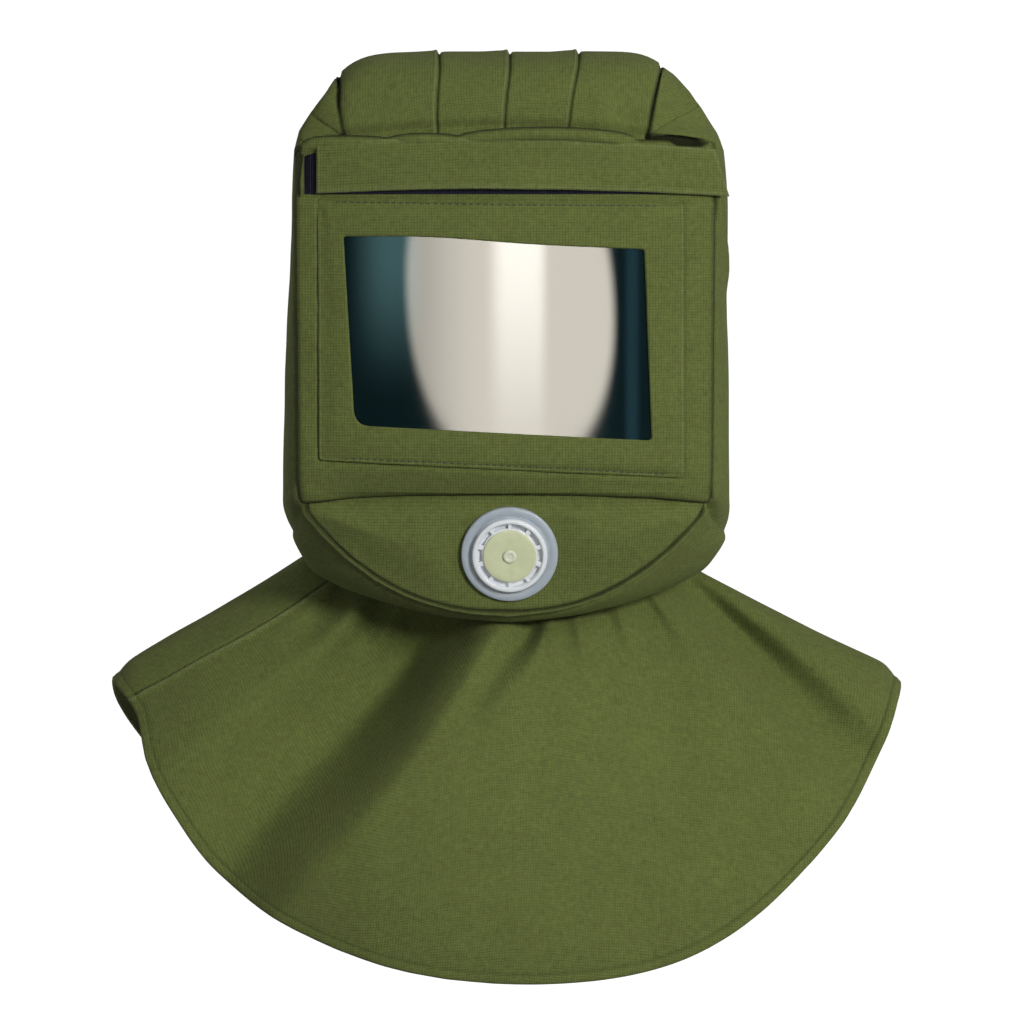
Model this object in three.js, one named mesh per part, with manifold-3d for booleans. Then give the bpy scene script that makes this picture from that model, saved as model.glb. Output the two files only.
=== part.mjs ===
// A canvas dust hood: a box-shaped head of sewn panels with a window and an exhale valve, over a cape
// that covers the shoulders. Millimetres, +Z up, the face looking along -Y, and the origin under the
// top of the crown, where the hood sits on the head.
import * as THREE from "three";
import { mergeVertices } from "three/addons/utils/BufferGeometryUtils.js";
import Module from "manifold-3d";

const wasm = await Module();
wasm.setup();

// Canvas: one layer's thickness, and how far each panel stops short of its seam.
const CANVAS = 1.6;
const SEAM_GAP = 0.6;
const LAYER_GAP = 0.5;

// Face: the front panel and the half-moon chin panel under it.
const FACE_FRONT = -118;
const FACE_RADIUS = 420;
const FACE_TOP = -45;
const FACE_TOP_DROP = 5;
const FACE_HALF_TOP = 126;
const FACE_HALF_SEAM = 124;
const SEAM_MIDDLE = -263;
const SEAM_END = -267;
const CHIN_DEPTH = 66;
const CHIN_ROUNDNESS = 2.4;
const CHIN_SLOPE = Math.tan(THREE.MathUtils.degToRad(12));

// Crown: where its seams meet the face, and its three tucks.
const CROWN_HALF = 91;
const TUCK_PITCH = 39;
const TUCK_WIDTH = 5;
const TUCK_HEIGHT = 2;
const TUCK_REACH = 5;
const HEAD_MIDDLE_Z = -150;

// Window: corners of the opening and of the patch around it, as x and z on the face. The patch rises
// from the panel to the lens between two places, from its edge (0) to the opening (1).
const WINDOW = {
  topLeft: [-94.8, -111],
  topRight: [81.7, -118],
  lowRight: [86.1, -231],
  lowLeft: [-88.2, -222],
};
const PATCH = {
  topLeft: [-110.3, -87.5],
  topRight: [105.2, -90.5],
  lowRight: [105.6, -253.5],
  lowLeft: [-109.7, -243],
};
const PATCH_RISE = { start: 0.02, end: 0.3 };
const LENS_THICK = 2;
const LENS_OVERLAP = 7;
const PANEL_HOLE_MARGIN = 3;

// Pocket flap: sewn down along its top, over the hook tape below that, and lifting at its free edge.
// Its bends are places between the top (0) and the free edge (1).
const FLAP = {
  topLeft: [-112, -54],
  topRight: [120, -57.5],
  lowRight: [130, -87.5],
  lowLeft: [-112, -85],
};
const FLAP_ARCH = 3;
const FLAP_BENDS = { overTape: 0.1, lift: 0.6 };
const FLAP_CLOSE = 0.6;
const FLAP_OVER_TAPE = 2.4;
const FLAP_LIFT = 4.2;
const TAPE = { left: -119, right: 106, top: -61, low: -83 };
const TAPE_THICK = 1.3;

// Valve: its centre on the chin panel, then radii and heights above the canvas.
const VALVE_X = 2.8;
const VALVE_Z = -298;
const VALVE_HOLE = 23.4;
const VALVE_SLOTS = 10;
const VALVE_FACETS = 40;
const FLANGE_RADIUS = 28.75;
const CAGE_RADIUS = 22.35;
const MEMBRANE_RADIUS = 15.9;

// Neck seam: a rounded oval, lower in front than behind.
const NECK_HALF_WIDTH = 105;
const NECK_HALF_DEPTH = 81;
const NECK_MIDDLE = 19;
const NECK_SQUARENESS = 2.4;
const NECK_FRONT_Z = -322;
const NECK_SIDE_Z = -302;
const NECK_BACK_Z = -297;
const NECK_BACK_DEG = 42;
const NECK_SEAM_DROP = 1.4;

// Cape: seen from the front its hem is one arc, and seen from above an oval. Two shoulder seams part its
// front from its back, by their angles round the neck.
const HEM_HALF_WIDTH = 243;
const HEM_DROP = 235;
const HEM_CENTRE_Z = -315;
const HEM_ARC_DEG = 79;
const HEM_SWING = 9;
const HEM_FLATNESS = 0.88;
const HEM_FRONT = 150;
const HEM_BACK = 142;
const CAPE_BOW = 13;
const CAPE_SIDE_BOW = 5.2;
const CAPE_SEAM_FLAT = 0.15;
const SHOULDER_LEFT_DEG = -80;
const SHOULDER_RIGHT_DEG = 92;

// The crown from the face to the neck, between its first and last edge: its middle line and its seam.
const CROWN_ROWS = [
  { yMid: -112, zMid: -24, yEdge: -101, zEdge: -31, half: 93 },
  { yMid: -94, zMid: -8, yEdge: -85, zEdge: -16, half: 95 },
  { yMid: -58, zMid: 0, yEdge: -54, zEdge: -7, half: 95 },
  { yMid: 0, zMid: 1.6, yEdge: 0, zEdge: -6, half: 95 },
  { yMid: 56, zMid: -5, yEdge: 50, zEdge: -13, half: 93 },
  { yMid: 100, zMid: -32, yEdge: 90, zEdge: -38, half: 90 },
  { yMid: 127, zMid: -85, yEdge: 116, zEdge: -88, half: 86 },
  { yMid: 137, zMid: -150, yEdge: 124, zEdge: -150, half: 83 },
  { yMid: 132, zMid: -218, yEdge: 118, zEdge: -216, half: 80 },
  { yMid: 117, zMid: -272, yEdge: 102, zEdge: -268, half: 76 },
];
const CROWN_TOP_FRONT = 2;
const CROWN_TOP_BACK = 6;

// A side panel from the crown's seam down to the seam under the chin. front counts along the crown's
// seam (0 to 1), the top of the face (2), its side (3) and the chin (4); back along the crown's seam
// (0 to 1) and the neck (2). out and lift are how far the middle of the row swells, box how squarely, and
// right how much more the right side swells than the left.
const SIDE_ROWS = [
  { front: 0, back: 0, out: 3, lift: 22, box: 3, right: 0 },
  { front: 1, back: 0.1, out: 20, lift: 22, box: 8, right: 3 },
  { front: 2, back: 0.2, out: 14, lift: 15, box: 3.4, right: 3 },
  { front: 2.5, back: 0.5, out: 22, lift: 6, box: 2.8, right: 2 },
  { front: 3, back: 0.85, out: 26, lift: 0, box: 2.6, right: 4 },
  { front: 3.25, back: 1.25, out: 28, lift: 2, box: 2.2, right: 6 },
  { front: 3.62, back: 1.62, out: 12, lift: -6, box: 2, right: 3 },
  { front: 4, back: 2, out: 0, lift: -12, box: 2, right: 0 },
];
const SEAM_FADE = 1.5;

// Folds of the cape: the angle at the neck and at the hem, the half width in degrees, the depth in
// millimetres, and where between neck (0) and hem (1) it is deepest and has run out.
const FOLD_START = -0.25;
const CAPE_FOLDS = [
  { neck: -13, hem: -36, width: 13, depth: 22, deepest: 0.45, end: 1.3 },
  { neck: 10, hem: -24, width: 6, depth: 8, deepest: 0.05, end: 0.4 },
  { neck: 26, hem: 20, width: 5, depth: 5, deepest: 0.05, end: 0.3 },
  { neck: 73, hem: 55, width: 12, depth: 8, deepest: 0.4, end: 1.2 },
  { neck: 92, hem: 86, width: 34, depth: 7, deepest: 0.3, end: 1.3 },
  { neck: -66, hem: -62, width: 9, depth: 6, deepest: 0.2, end: 0.8 },
  { neck: 150, hem: 142, width: 14, depth: 10, deepest: 0.5, end: 1.3 },
  { neck: 178, hem: 184, width: 12, depth: 9, deepest: 0.5, end: 1.3 },
  { neck: 212, hem: 222, width: 14, depth: 10, deepest: 0.5, end: 1.3 },
];

// How many cells each wall has across and down, or round and in.
const GRID = {
  side: [12, 21],
  front: [40, 3],
  patch: [40, 4],
  chin: [44, 4],
  lens: [15, 2],
  flapAcross: 20,
  tape: [16, 1],
  capeFront: [34, 10],
  capeBack: [26, 9],
};

const { degToRad, lerp, clamp, smoothstep } = THREE.MathUtils;
const vec = (x, y, z) => new THREE.Vector3(x, y, z);

// Every column of a table at a place between two of its rows, on a smooth curve through the rows.
function between(rows, place) {
  const last = rows.length - 1;
  const i = clamp(Math.floor(place), 0, last - 1);
  const t = place - i;
  const [a, b, c, d] = [i - 1, i, i + 1, i + 2].map((n) => rows[clamp(n, 0, last)]);
  const column = (p, q, r, s) => {
    const bend = (2 * p - 5 * q + 4 * r - s) * t * t + (3 * q - p - 3 * r + s) * t ** 3;
    return q + 0.5 * ((r - p) * t + bend);
  };
  return Object.fromEntries(Object.keys(b).map((key) => [key, column(a[key], b[key], c[key], d[key])]));
}

const steps = (count) => Array.from({ length: count + 1 }, (_, i) => i / count);

// A closed wall behind a surface. Seen from outside, u runs to the right and v runs down. Open edges
// stop short of the seam, and are mitred on the inside so that walls can meet at an angle.
function wall(surface, us, vs, { thick = CANVAS, loop = false } = {}) {
  const columns = loop ? us.length - 1 : us.length;
  const rows = vs.length;
  const at = (i, j) => {
    const column = loop ? (i + columns) % columns : clamp(i, 0, columns - 1);
    return column * rows + clamp(j, 0, rows - 1);
  };
  const outer = us.slice(0, columns).flatMap((u) => vs.map((v) => surface(u, v)));
  const normals = [];
  for (let i = 0; i < columns; i++) {
    for (let j = 0; j < rows; j++) {
      const alongU = outer[at(i + 1, j)].clone().sub(outer[at(i - 1, j)]);
      const alongV = outer[at(i, j + 1)].clone().sub(outer[at(i, j - 1)]);
      normals.push(alongV.cross(alongU).normalize());
    }
  }
  const inner = outer.map((point, n) => point.clone().addScaledVector(normals[n], -thick));
  const pullIn = (points, distance) => {
    const start = points.map((point) => point.clone());
    const pull = (edge, inside) => {
      points[edge].addScaledVector(start[inside].clone().sub(start[edge]).normalize(), distance);
    };
    for (let i = 0; i < columns; i++) {
      pull(at(i, 0), at(i, 1));
      pull(at(i, rows - 1), at(i, rows - 2));
    }
    if (loop) return;
    for (let j = 0; j < rows; j++) {
      pull(at(0, j), at(1, j));
      pull(at(columns - 1, j), at(columns - 2, j));
    }
  };
  pullIn(outer, SEAM_GAP);
  pullIn(inner, SEAM_GAP + thick);

  const behind = outer.length;
  const faces = [];
  const quad = (a, b, c, d) => faces.push(a, b, c, a, c, d);
  const spans = loop ? columns : columns - 1;
  for (let i = 0; i < spans; i++) {
    for (let j = 0; j < rows - 1; j++) {
      quad(at(i, j), at(i, j + 1), at(i + 1, j + 1), at(i + 1, j));
      quad(behind + at(i, j), behind + at(i + 1, j), behind + at(i + 1, j + 1), behind + at(i, j + 1));
    }
    quad(at(i, 0), at(i + 1, 0), behind + at(i + 1, 0), behind + at(i, 0));
    const end = rows - 1;
    quad(at(i, end), behind + at(i, end), behind + at(i + 1, end), at(i + 1, end));
  }
  if (!loop) {
    for (let j = 0; j < rows - 1; j++) {
      quad(at(0, j), behind + at(0, j), behind + at(0, j + 1), at(0, j + 1));
      const end = columns - 1;
      quad(at(end, j), at(end, j + 1), behind + at(end, j + 1), behind + at(end, j));
    }
  }
  const geometry = new THREE.BufferGeometry();
  const coordinates = [...outer, ...inner].flatMap((point) => point.toArray());
  geometry.setAttribute("position", new THREE.Float32BufferAttribute(coordinates, 3));
  geometry.setIndex(faces);
  geometry.computeVertexNormals();
  return geometry;
}

// Points of the face by x and z, standing off it by a distance.
function facePoint(x, z, off = 0) {
  const belowSeam = Math.max(0, SEAM_MIDDLE - z);
  return vec(x, FACE_FRONT + (x * x) / (2 * FACE_RADIUS) + belowSeam * CHIN_SLOPE - off, z);
}
const faceTop = (x) => FACE_TOP - FACE_TOP_DROP * (x / CROWN_HALF) ** 2;
const faceSeam = (x) => lerp(SEAM_MIDDLE, SEAM_END, (x / FACE_HALF_SEAM) ** 2);
const chinArc = (x) => SEAM_END - CHIN_DEPTH * (1 - Math.abs(x / FACE_HALF_SEAM) ** CHIN_ROUNDNESS);
const CORNER_Z = faceTop(FACE_HALF_TOP);

// Neck seam by angle: 0 in front, 90 at the right, 180 behind.
function neckPoint(degrees) {
  const angle = degToRad(degrees);
  const [sine, cosine] = [Math.sin(angle), Math.cos(angle)];
  const rounded = (value) => Math.sign(value) * Math.abs(value) ** (2 / NECK_SQUARENESS);
  const endZ = cosine > 0 ? NECK_FRONT_Z : NECK_BACK_Z;
  return vec(
    NECK_HALF_WIDTH * rounded(sine),
    NECK_MIDDLE - NECK_HALF_DEPTH * rounded(cosine),
    lerp(NECK_SIDE_Z, endZ, cosine * cosine),
  );
}

const mix = (from, to, t) => [lerp(from[0], to[0], t), lerp(from[1], to[1], t)];

function grown({ topLeft, topRight, lowRight, lowLeft }, by) {
  return {
    topLeft: [topLeft[0] - by, topLeft[1] + by],
    topRight: [topRight[0] + by, topRight[1] + by],
    lowRight: [lowRight[0] + by, lowRight[1] - by],
    lowLeft: [lowLeft[0] - by, lowLeft[1] - by],
  };
}

// A place among four corners, u to the right and v down.
function within({ topLeft, topRight, lowRight, lowLeft }, u, v) {
  return mix(mix(topLeft, topRight, u), mix(lowLeft, lowRight, u), v);
}

// A closed path round four corners, 0 to 1: the top to the right, down, back to the left, and up.
function roundFour({ topLeft, topRight, lowRight, lowLeft }) {
  const points = [topLeft, topRight, lowRight, lowLeft];
  return (q) => {
    const side = Math.floor(q * 4) % 4;
    return mix(points[side], points[(side + 1) % 4], q * 4 - Math.floor(q * 4));
  };
}

function frontOutline(q) {
  const side = Math.floor(q * 4) % 4;
  const t = q * 4 - Math.floor(q * 4);
  if (side === 0) {
    const x = lerp(-FACE_HALF_TOP, FACE_HALF_TOP, t);
    return [x, faceTop(x)];
  }
  if (side === 1) return [lerp(FACE_HALF_TOP, FACE_HALF_SEAM, t), lerp(CORNER_Z, SEAM_END, t)];
  if (side === 2) {
    const x = lerp(FACE_HALF_SEAM, -FACE_HALF_SEAM, t);
    return [x, faceSeam(x)];
  }
  return [-lerp(FACE_HALF_SEAM, FACE_HALF_TOP, t), lerp(SEAM_END, CORNER_Z, t)];
}

function chinOutline(q) {
  const t = (q * 2) % 1;
  const x = FACE_HALF_SEAM * (q < 0.5 ? 2 * t - 1 : 1 - 2 * t);
  return [x, q < 0.5 ? faceSeam(x) : chinArc(x)];
}

// A frame of canvas between a hole and an outline, both closed paths on the face.
function frame(outline, hole, [around, across], standOff = () => 0) {
  const surface = (q, v) => {
    const [x, z] = mix(outline(q % 1), hole(q % 1), v);
    return facePoint(x, z, standOff(v));
  };
  return wall(surface, steps(around), steps(across), { loop: true });
}

function frontPanel() {
  return frame(frontOutline, roundFour(grown(WINDOW, PANEL_HOLE_MARGIN)), GRID.front);
}

// The patch lies on the front panel at its sewn edge and on the lens beside the opening.
function windowPatch() {
  const overLens = LAYER_GAP + LENS_THICK + LAYER_GAP + CANVAS;
  const onPanel = LAYER_GAP + CANVAS;
  const standOff = (v) => lerp(onPanel, overLens, smoothstep(v, PATCH_RISE.start, PATCH_RISE.end));
  return frame(roundFour(PATCH), roundFour(WINDOW), GRID.patch, standOff);
}

function lens() {
  const [across, down] = GRID.lens;
  const surface = (u, v) => {
    const [x, z] = within(grown(WINDOW, LENS_OVERLAP), u, v);
    return facePoint(x, z, LAYER_GAP + LENS_THICK);
  };
  return wall(surface, steps(across), steps(down), { thick: LENS_THICK });
}

function chinPanel() {
  const hole = (q) => {
    const [x, z] = chinOutline(q);
    const reach = Math.hypot(x - VALVE_X, z - VALVE_Z) / VALVE_HOLE;
    return [VALVE_X + (x - VALVE_X) / reach, VALVE_Z + (z - VALVE_Z) / reach];
  };
  return frame(chinOutline, hole, GRID.chin);
}

function pocketFlap() {
  const { overTape, lift } = FLAP_BENDS;
  const surface = (u, v) => {
    const [x, z] = within(FLAP, u, v);
    const arch = FLAP_ARCH * (1 - (2 * u - 1) ** 2);
    const close = lerp(FLAP_CLOSE, FLAP_OVER_TAPE, smoothstep(v, 0, overTape));
    return facePoint(x, z + arch, lerp(close, FLAP_LIFT, smoothstep(v, lift, 1)) + CANVAS);
  };
  return wall(surface, steps(GRID.flapAcross), [0, overTape, lift, 1]);
}

function hookTape() {
  const [across, down] = GRID.tape;
  const standOff = LAYER_GAP + TAPE_THICK;
  const surface = (u, v) => facePoint(lerp(TAPE.left, TAPE.right, u), lerp(TAPE.top, TAPE.low, v), standOff);
  return wall(surface, steps(across), steps(down), { thick: TAPE_THICK });
}

// All the crown's rows: the first lies on the top of the face and the last on the neck seam.
const crownRows = (() => {
  const [faceMid, faceEdge] = [facePoint(0, faceTop(0)), facePoint(CROWN_HALF, faceTop(CROWN_HALF))];
  const [neckMid, neckEdge] = [neckPoint(180), neckPoint(180 - NECK_BACK_DEG)];
  const row = (mid, edge) => ({ yMid: mid.y, zMid: mid.z, yEdge: edge.y, zEdge: edge.z, half: edge.x });
  return [row(faceMid, faceEdge), ...CROWN_ROWS, row(neckMid, neckEdge)];
})();
const CROWN_END = crownRows.length - 1;

function crownPoint(across, place) {
  const { yMid, zMid, yEdge, zEdge, half } = between(crownRows, place);
  const fall = lerp(across * across, Math.abs(across) ** 3, smoothstep(place, 0, 1));
  const point = vec(across * half, lerp(yMid, yEdge, across * across), lerp(zMid, zEdge, fall));
  const nearNeck = smoothstep(place, CROWN_END - 2, CROWN_END);
  return point.lerp(neckPoint(180 - across * NECK_BACK_DEG), nearNeck);
}
const crownSeam = (place) => crownPoint(1, place);

const TUCKS = [-TUCK_PITCH, 0, TUCK_PITCH];

function crown() {
  const surface = (u, v) => {
    const place = (1 - v) * CROWN_END;
    const point = crownPoint(u, place);
    const nearest = Math.min(...TUCKS.map((x) => Math.abs(point.x - x)));
    const ridge = Math.max(0, 1 - nearest / TUCK_WIDTH) * TUCK_HEIGHT;
    const fade = 1 - smoothstep(place, TUCK_REACH - 1, TUCK_REACH);
    const outward = vec(0, point.y, point.z - HEAD_MIDDLE_Z).normalize();
    return point.addScaledVector(outward, ridge * fade);
  };
  const tuckColumns = TUCKS.flatMap((x) => [x - TUCK_WIDTH, x, x + TUCK_WIDTH]).map((x) => x / CROWN_HALF);
  const plainColumns = [-1, -0.82, -0.64, -0.21, 0.21, 0.64, 0.82, 1];
  const columns = [...plainColumns, ...tuckColumns].sort((a, b) => a - b);
  return wall(surface, columns, steps(2 * CROWN_END));
}

// Edges of the right side panel, counted in legs as in SIDE_ROWS.
function sideFront(place) {
  if (place <= 1) return crownSeam(CROWN_TOP_FRONT * (1 - place));
  if (place <= 2) {
    const x = lerp(CROWN_HALF, FACE_HALF_TOP, place - 1);
    return facePoint(x, faceTop(x));
  }
  if (place <= 3) {
    const t = place - 2;
    return facePoint(lerp(FACE_HALF_TOP, FACE_HALF_SEAM, t), lerp(CORNER_Z, SEAM_END, t));
  }
  const x = FACE_HALF_SEAM * Math.max(0, 4 - place);
  return facePoint(x, chinArc(x));
}

function sideBack(place) {
  if (place <= 1) return crownSeam(lerp(CROWN_TOP_BACK, CROWN_END, place));
  return neckPoint((180 - NECK_BACK_DEG) * (2 - place));
}

function sideRow(place, across, hand) {
  const { front, back, out, lift, box, right } = between(SIDE_ROWS, place);
  const swell = 1 - Math.abs(2 * across - 1) ** box;
  const point = sideFront(front).lerp(sideBack(back), across);
  return point.add(vec((out + (hand > 0 ? right : 0)) * swell, 0, lift * swell));
}

function sidePoint(across, place, hand) {
  const topSeam = crownSeam(lerp(CROWN_TOP_FRONT, CROWN_TOP_BACK, across));
  const correction = topSeam.sub(sideRow(0, across, hand));
  const fade = Math.max(0, 1 - place / SEAM_FADE) ** 2;
  return sideRow(place, across, hand).addScaledVector(correction, fade);
}

function sidePanel(hand) {
  const [across, down] = GRID.side;
  const surface = (u, v) => {
    const point = sidePoint(hand > 0 ? u : 1 - u, v * (SIDE_ROWS.length - 1), hand);
    return point.multiply(vec(hand, 1, 1));
  };
  return wall(surface, steps(across), steps(down));
}

// Cape by angle round the neck and by place between neck (0) and hem (1).
function hemPoint(degrees) {
  const angle = degToRad(degrees);
  const arc = degToRad(HEM_ARC_DEG) * Math.sin(angle);
  const depth = Math.cos(angle) > 0 ? HEM_FRONT : HEM_BACK;
  const swing = HEM_SWING * Math.max(0, Math.cos(angle)) ** 2;
  return vec(
    HEM_HALF_WIDTH * Math.sin(arc) + swing,
    -depth * Math.cos(angle),
    HEM_CENTRE_Z - HEM_DROP * Math.cos(arc) ** HEM_FLATNESS,
  );
}

function capeSmooth(degrees, place) {
  const start = neckPoint(degrees).add(vec(0, 0, -NECK_SEAM_DROP));
  const point = start.lerp(hemPoint(degrees), place);
  const angle = degToRad(degrees);
  const bow = (place * place * (1 - place) * 27) / 4;
  return point.add(vec(Math.sin(angle) * bow * CAPE_SIDE_BOW, -Math.cos(angle) * bow * CAPE_BOW, 0));
}

function foldDepth(degrees, place) {
  return CAPE_FOLDS.reduce((sum, { neck, hem, width, depth, deepest, end }) => {
    const away = Math.abs(degrees - lerp(neck, hem, place)) / width;
    const across = away < 1 ? Math.cos((away * Math.PI) / 2) ** 2 : 0;
    const along = smoothstep(place, FOLD_START, deepest) * (1 - smoothstep(place, deepest, end));
    return sum + depth * across * along;
  }, 0);
}

function capeHalf(fromDegrees, toDegrees, [around, down]) {
  const nudge = 0.5;
  const surface = (u, v) => {
    const degrees = lerp(fromDegrees, toDegrees, u);
    const alongU = capeSmooth(degrees + nudge, v).sub(capeSmooth(degrees - nudge, v));
    const alongV = hemPoint(degrees).sub(neckPoint(degrees));
    const outward = alongV.cross(alongU).normalize();
    const atNeck = smoothstep(v, 0, CAPE_SEAM_FLAT);
    return capeSmooth(degrees, v).addScaledVector(outward, -foldDepth(degrees, v) * atNeck);
  };
  return wall(surface, steps(around), steps(down));
}

// Turned pieces: a profile of radius and height, spun about +Z.
function turned(profile) {
  const points = profile.map(([radius, height]) => new THREE.Vector2(radius, height));
  const onAxis = points[0].x === 0;
  if (!onAxis) points.push(points[0].clone());
  return new THREE.LatheGeometry(points, VALVE_FACETS).rotateX(Math.PI / 2);
}

function valveFlange() {
  return turned([
    [21, -5], [26, -5], [26, -3.2], [22.8, -3.2], [22.8, 0.5],
    [FLANGE_RADIUS, 0.5], [FLANGE_RADIUS, 2.2], [27.6, 3.2], [21, 3.2],
  ]);
}

function solid(geometry) {
  const bare = geometry.index ? geometry.toNonIndexed() : geometry.clone();
  bare.deleteAttribute("normal");
  bare.deleteAttribute("uv");
  const merged = mergeVertices(bare, 1e-3);
  const mesh = new wasm.Mesh({
    numProp: 3,
    vertProperties: new Float32Array(merged.attributes.position.array),
    triVerts: new Uint32Array(merged.index.array),
  });
  mesh.merge();
  return new wasm.Manifold(mesh);
}

function geometryOf(manifold) {
  const mesh = manifold.getMesh();
  const geometry = new THREE.BufferGeometry();
  geometry.setAttribute("position", new THREE.Float32BufferAttribute(mesh.vertProperties, 3));
  geometry.setIndex(new THREE.Uint32BufferAttribute(mesh.triVerts, 1));
  geometry.computeVertexNormals();
  return geometry;
}

const arc = (radius, from, to, count) => {
  const at = (t) => lerp(from, to, t);
  return steps(count).map((t) => new THREE.Vector2(radius * Math.cos(at(t)), radius * Math.sin(at(t))));
};

// The cage: a rim and barrel, and a plate inside them with a ring of slots and a hole for the stud.
function valveCage() {
  const [barrelIn, barrelOut, barrelLow, rimLow, rimTop] = [19.4, 20.7, -4.5, 3.5, 7.2];
  const rim = turned([
    [barrelIn, barrelLow], [barrelOut, barrelLow], [barrelOut, rimLow], [CAGE_RADIUS, rimLow],
    [CAGE_RADIUS, rimTop - 1], [CAGE_RADIUS - 1, rimTop], [barrelIn, rimTop],
  ]);
  const [plateRadius, plateLow, plateThick, studHole] = [19.8, 4.4, 1.6, 1.7];
  const [slotIn, slotOut, spoke] = [16.6, 19, 2.5];
  const plate = new THREE.Shape(arc(plateRadius, 0, 2 * Math.PI, VALVE_FACETS).slice(1));
  plate.holes.push(new THREE.Path(arc(studHole, 2 * Math.PI, 0, 12).slice(1)));
  for (let n = 0; n < VALVE_SLOTS; n++) {
    const middle = Math.PI / 2 + ((n + 0.5) * 2 * Math.PI) / VALVE_SLOTS;
    const spread = (radius) => Math.PI / VALVE_SLOTS - spoke / 2 / radius;
    const outside = arc(slotOut, middle + spread(slotOut), middle - spread(slotOut), 4);
    const inside = arc(slotIn, middle - spread(slotIn), middle + spread(slotIn), 4);
    plate.holes.push(new THREE.Path([...outside, ...inside]));
  }
  const disc = new THREE.ExtrudeGeometry(plate, { depth: plateThick, bevelEnabled: false });
  disc.translate(0, 0, plateLow);
  return geometryOf(solid(rim).add(solid(disc)));
}

function valveMembrane() {
  const [hole, low, thick] = [1.7, 6.3, 1];
  return turned([
    [hole, low], [MEMBRANE_RADIUS, low], [MEMBRANE_RADIUS, low + thick / 2],
    [MEMBRANE_RADIUS - 0.5, low + thick], [hole, low + thick],
  ]);
}

function valveStud() {
  return turned([
    [0, 2.9], [3, 2.9], [3, 4.1], [1.4, 4.1], [1.4, 7.6], [4, 7.6], [4, 8.2], [3.2, 8.8], [0, 8.8],
  ]);
}

const canvas = () => new THREE.MeshStandardMaterial({ color: 0x59623a, roughness: 0.95, metalness: 0 });
const plastic = (color, roughness) => new THREE.MeshStandardMaterial({ color, roughness, metalness: 0 });

function piece(name, geometry, material) {
  const mesh = new THREE.Mesh(geometry, material);
  mesh.name = name;
  return mesh;
}

const hood = new THREE.Group();
hood.add(
  piece("crown", crown(), canvas()),
  piece("side_left", sidePanel(-1), canvas()),
  piece("side_right", sidePanel(1), canvas()),
  piece("front_panel", frontPanel(), canvas()),
  piece("window_patch", windowPatch(), canvas()),
  piece("lens", lens(), plastic(0x14262c, 0.05)),
  piece("hook_tape", hookTape(), plastic(0x19142d, 0.9)),
  piece("pocket_flap", pocketFlap(), canvas()),
  piece("chin_panel", chinPanel(), canvas()),
  piece("cape_front", capeHalf(SHOULDER_LEFT_DEG, SHOULDER_RIGHT_DEG, GRID.capeFront), canvas()),
  piece("cape_back", capeHalf(SHOULDER_RIGHT_DEG, SHOULDER_LEFT_DEG + 360, GRID.capeBack), canvas()),
);

// The valve stands square on the chin panel, so it looks a little downwards.
const valve = new THREE.Group();
valve.up.set(0, 0, 1);
valve.position.copy(facePoint(VALVE_X, VALVE_Z));
valve.lookAt(valve.position.clone().add(vec(VALVE_X / FACE_RADIUS, -1, -CHIN_SLOPE)));
valve.add(
  piece("valve_flange", valveFlange(), plastic(0x939da6, 0.4)),
  piece("valve_cage", valveCage(), plastic(0xe4e8ea, 0.4)),
  piece("valve_membrane", valveMembrane(), plastic(0xcfd5aa, 0.45)),
  piece("valve_stud", valveStud(), plastic(0xdde0c4, 0.4)),
);
hood.add(valve);

export default hood;
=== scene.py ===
import math

import bpy
import numpy as np
from mathutils import Matrix, Vector, noise


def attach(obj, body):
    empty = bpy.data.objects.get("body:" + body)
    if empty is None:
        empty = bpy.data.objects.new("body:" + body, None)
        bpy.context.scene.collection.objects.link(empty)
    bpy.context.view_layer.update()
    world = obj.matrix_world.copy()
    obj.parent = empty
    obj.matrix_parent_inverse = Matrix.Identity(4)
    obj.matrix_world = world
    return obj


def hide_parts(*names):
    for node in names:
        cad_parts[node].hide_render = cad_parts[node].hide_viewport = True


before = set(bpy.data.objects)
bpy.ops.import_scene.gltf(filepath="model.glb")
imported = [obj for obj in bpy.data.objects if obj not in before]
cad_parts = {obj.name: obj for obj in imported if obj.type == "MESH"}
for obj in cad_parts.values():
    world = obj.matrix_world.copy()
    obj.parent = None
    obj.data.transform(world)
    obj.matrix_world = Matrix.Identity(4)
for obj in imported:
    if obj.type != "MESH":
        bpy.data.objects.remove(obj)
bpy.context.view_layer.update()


# Crown: one long strip of olive cotton canvas, from the top of the face over the head to the neck.
# Three tucks sewn across its front half take up its fullness, so that the flat cloth bends over the head.
CANVAS_THICK = 0.0016
CANVAS_GREEN = (0.138, 0.168, 0.043)
CANVAS_PALE = (0.27, 0.31, 0.14)
THREAD_PITCH = 0.0017
THREAD_WANDER = 0.0009

FACE_FRONT = -0.118
FACE_RADIUS = 0.42
FACE_TOP = -0.045
FACE_TOP_DROP = 0.005
SEAM_MIDDLE = -0.263
CHIN_SLOPE = math.tan(math.radians(12))

NECK_HALF_WIDTH = 0.105
NECK_HALF_DEPTH = 0.081
NECK_MIDDLE = 0.019
NECK_SQUARENESS = 2.4
NECK_FRONT_Z = -0.322
NECK_SIDE_Z = -0.302
NECK_BACK_Z = -0.297
NECK_BACK_DEG = 42

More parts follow.
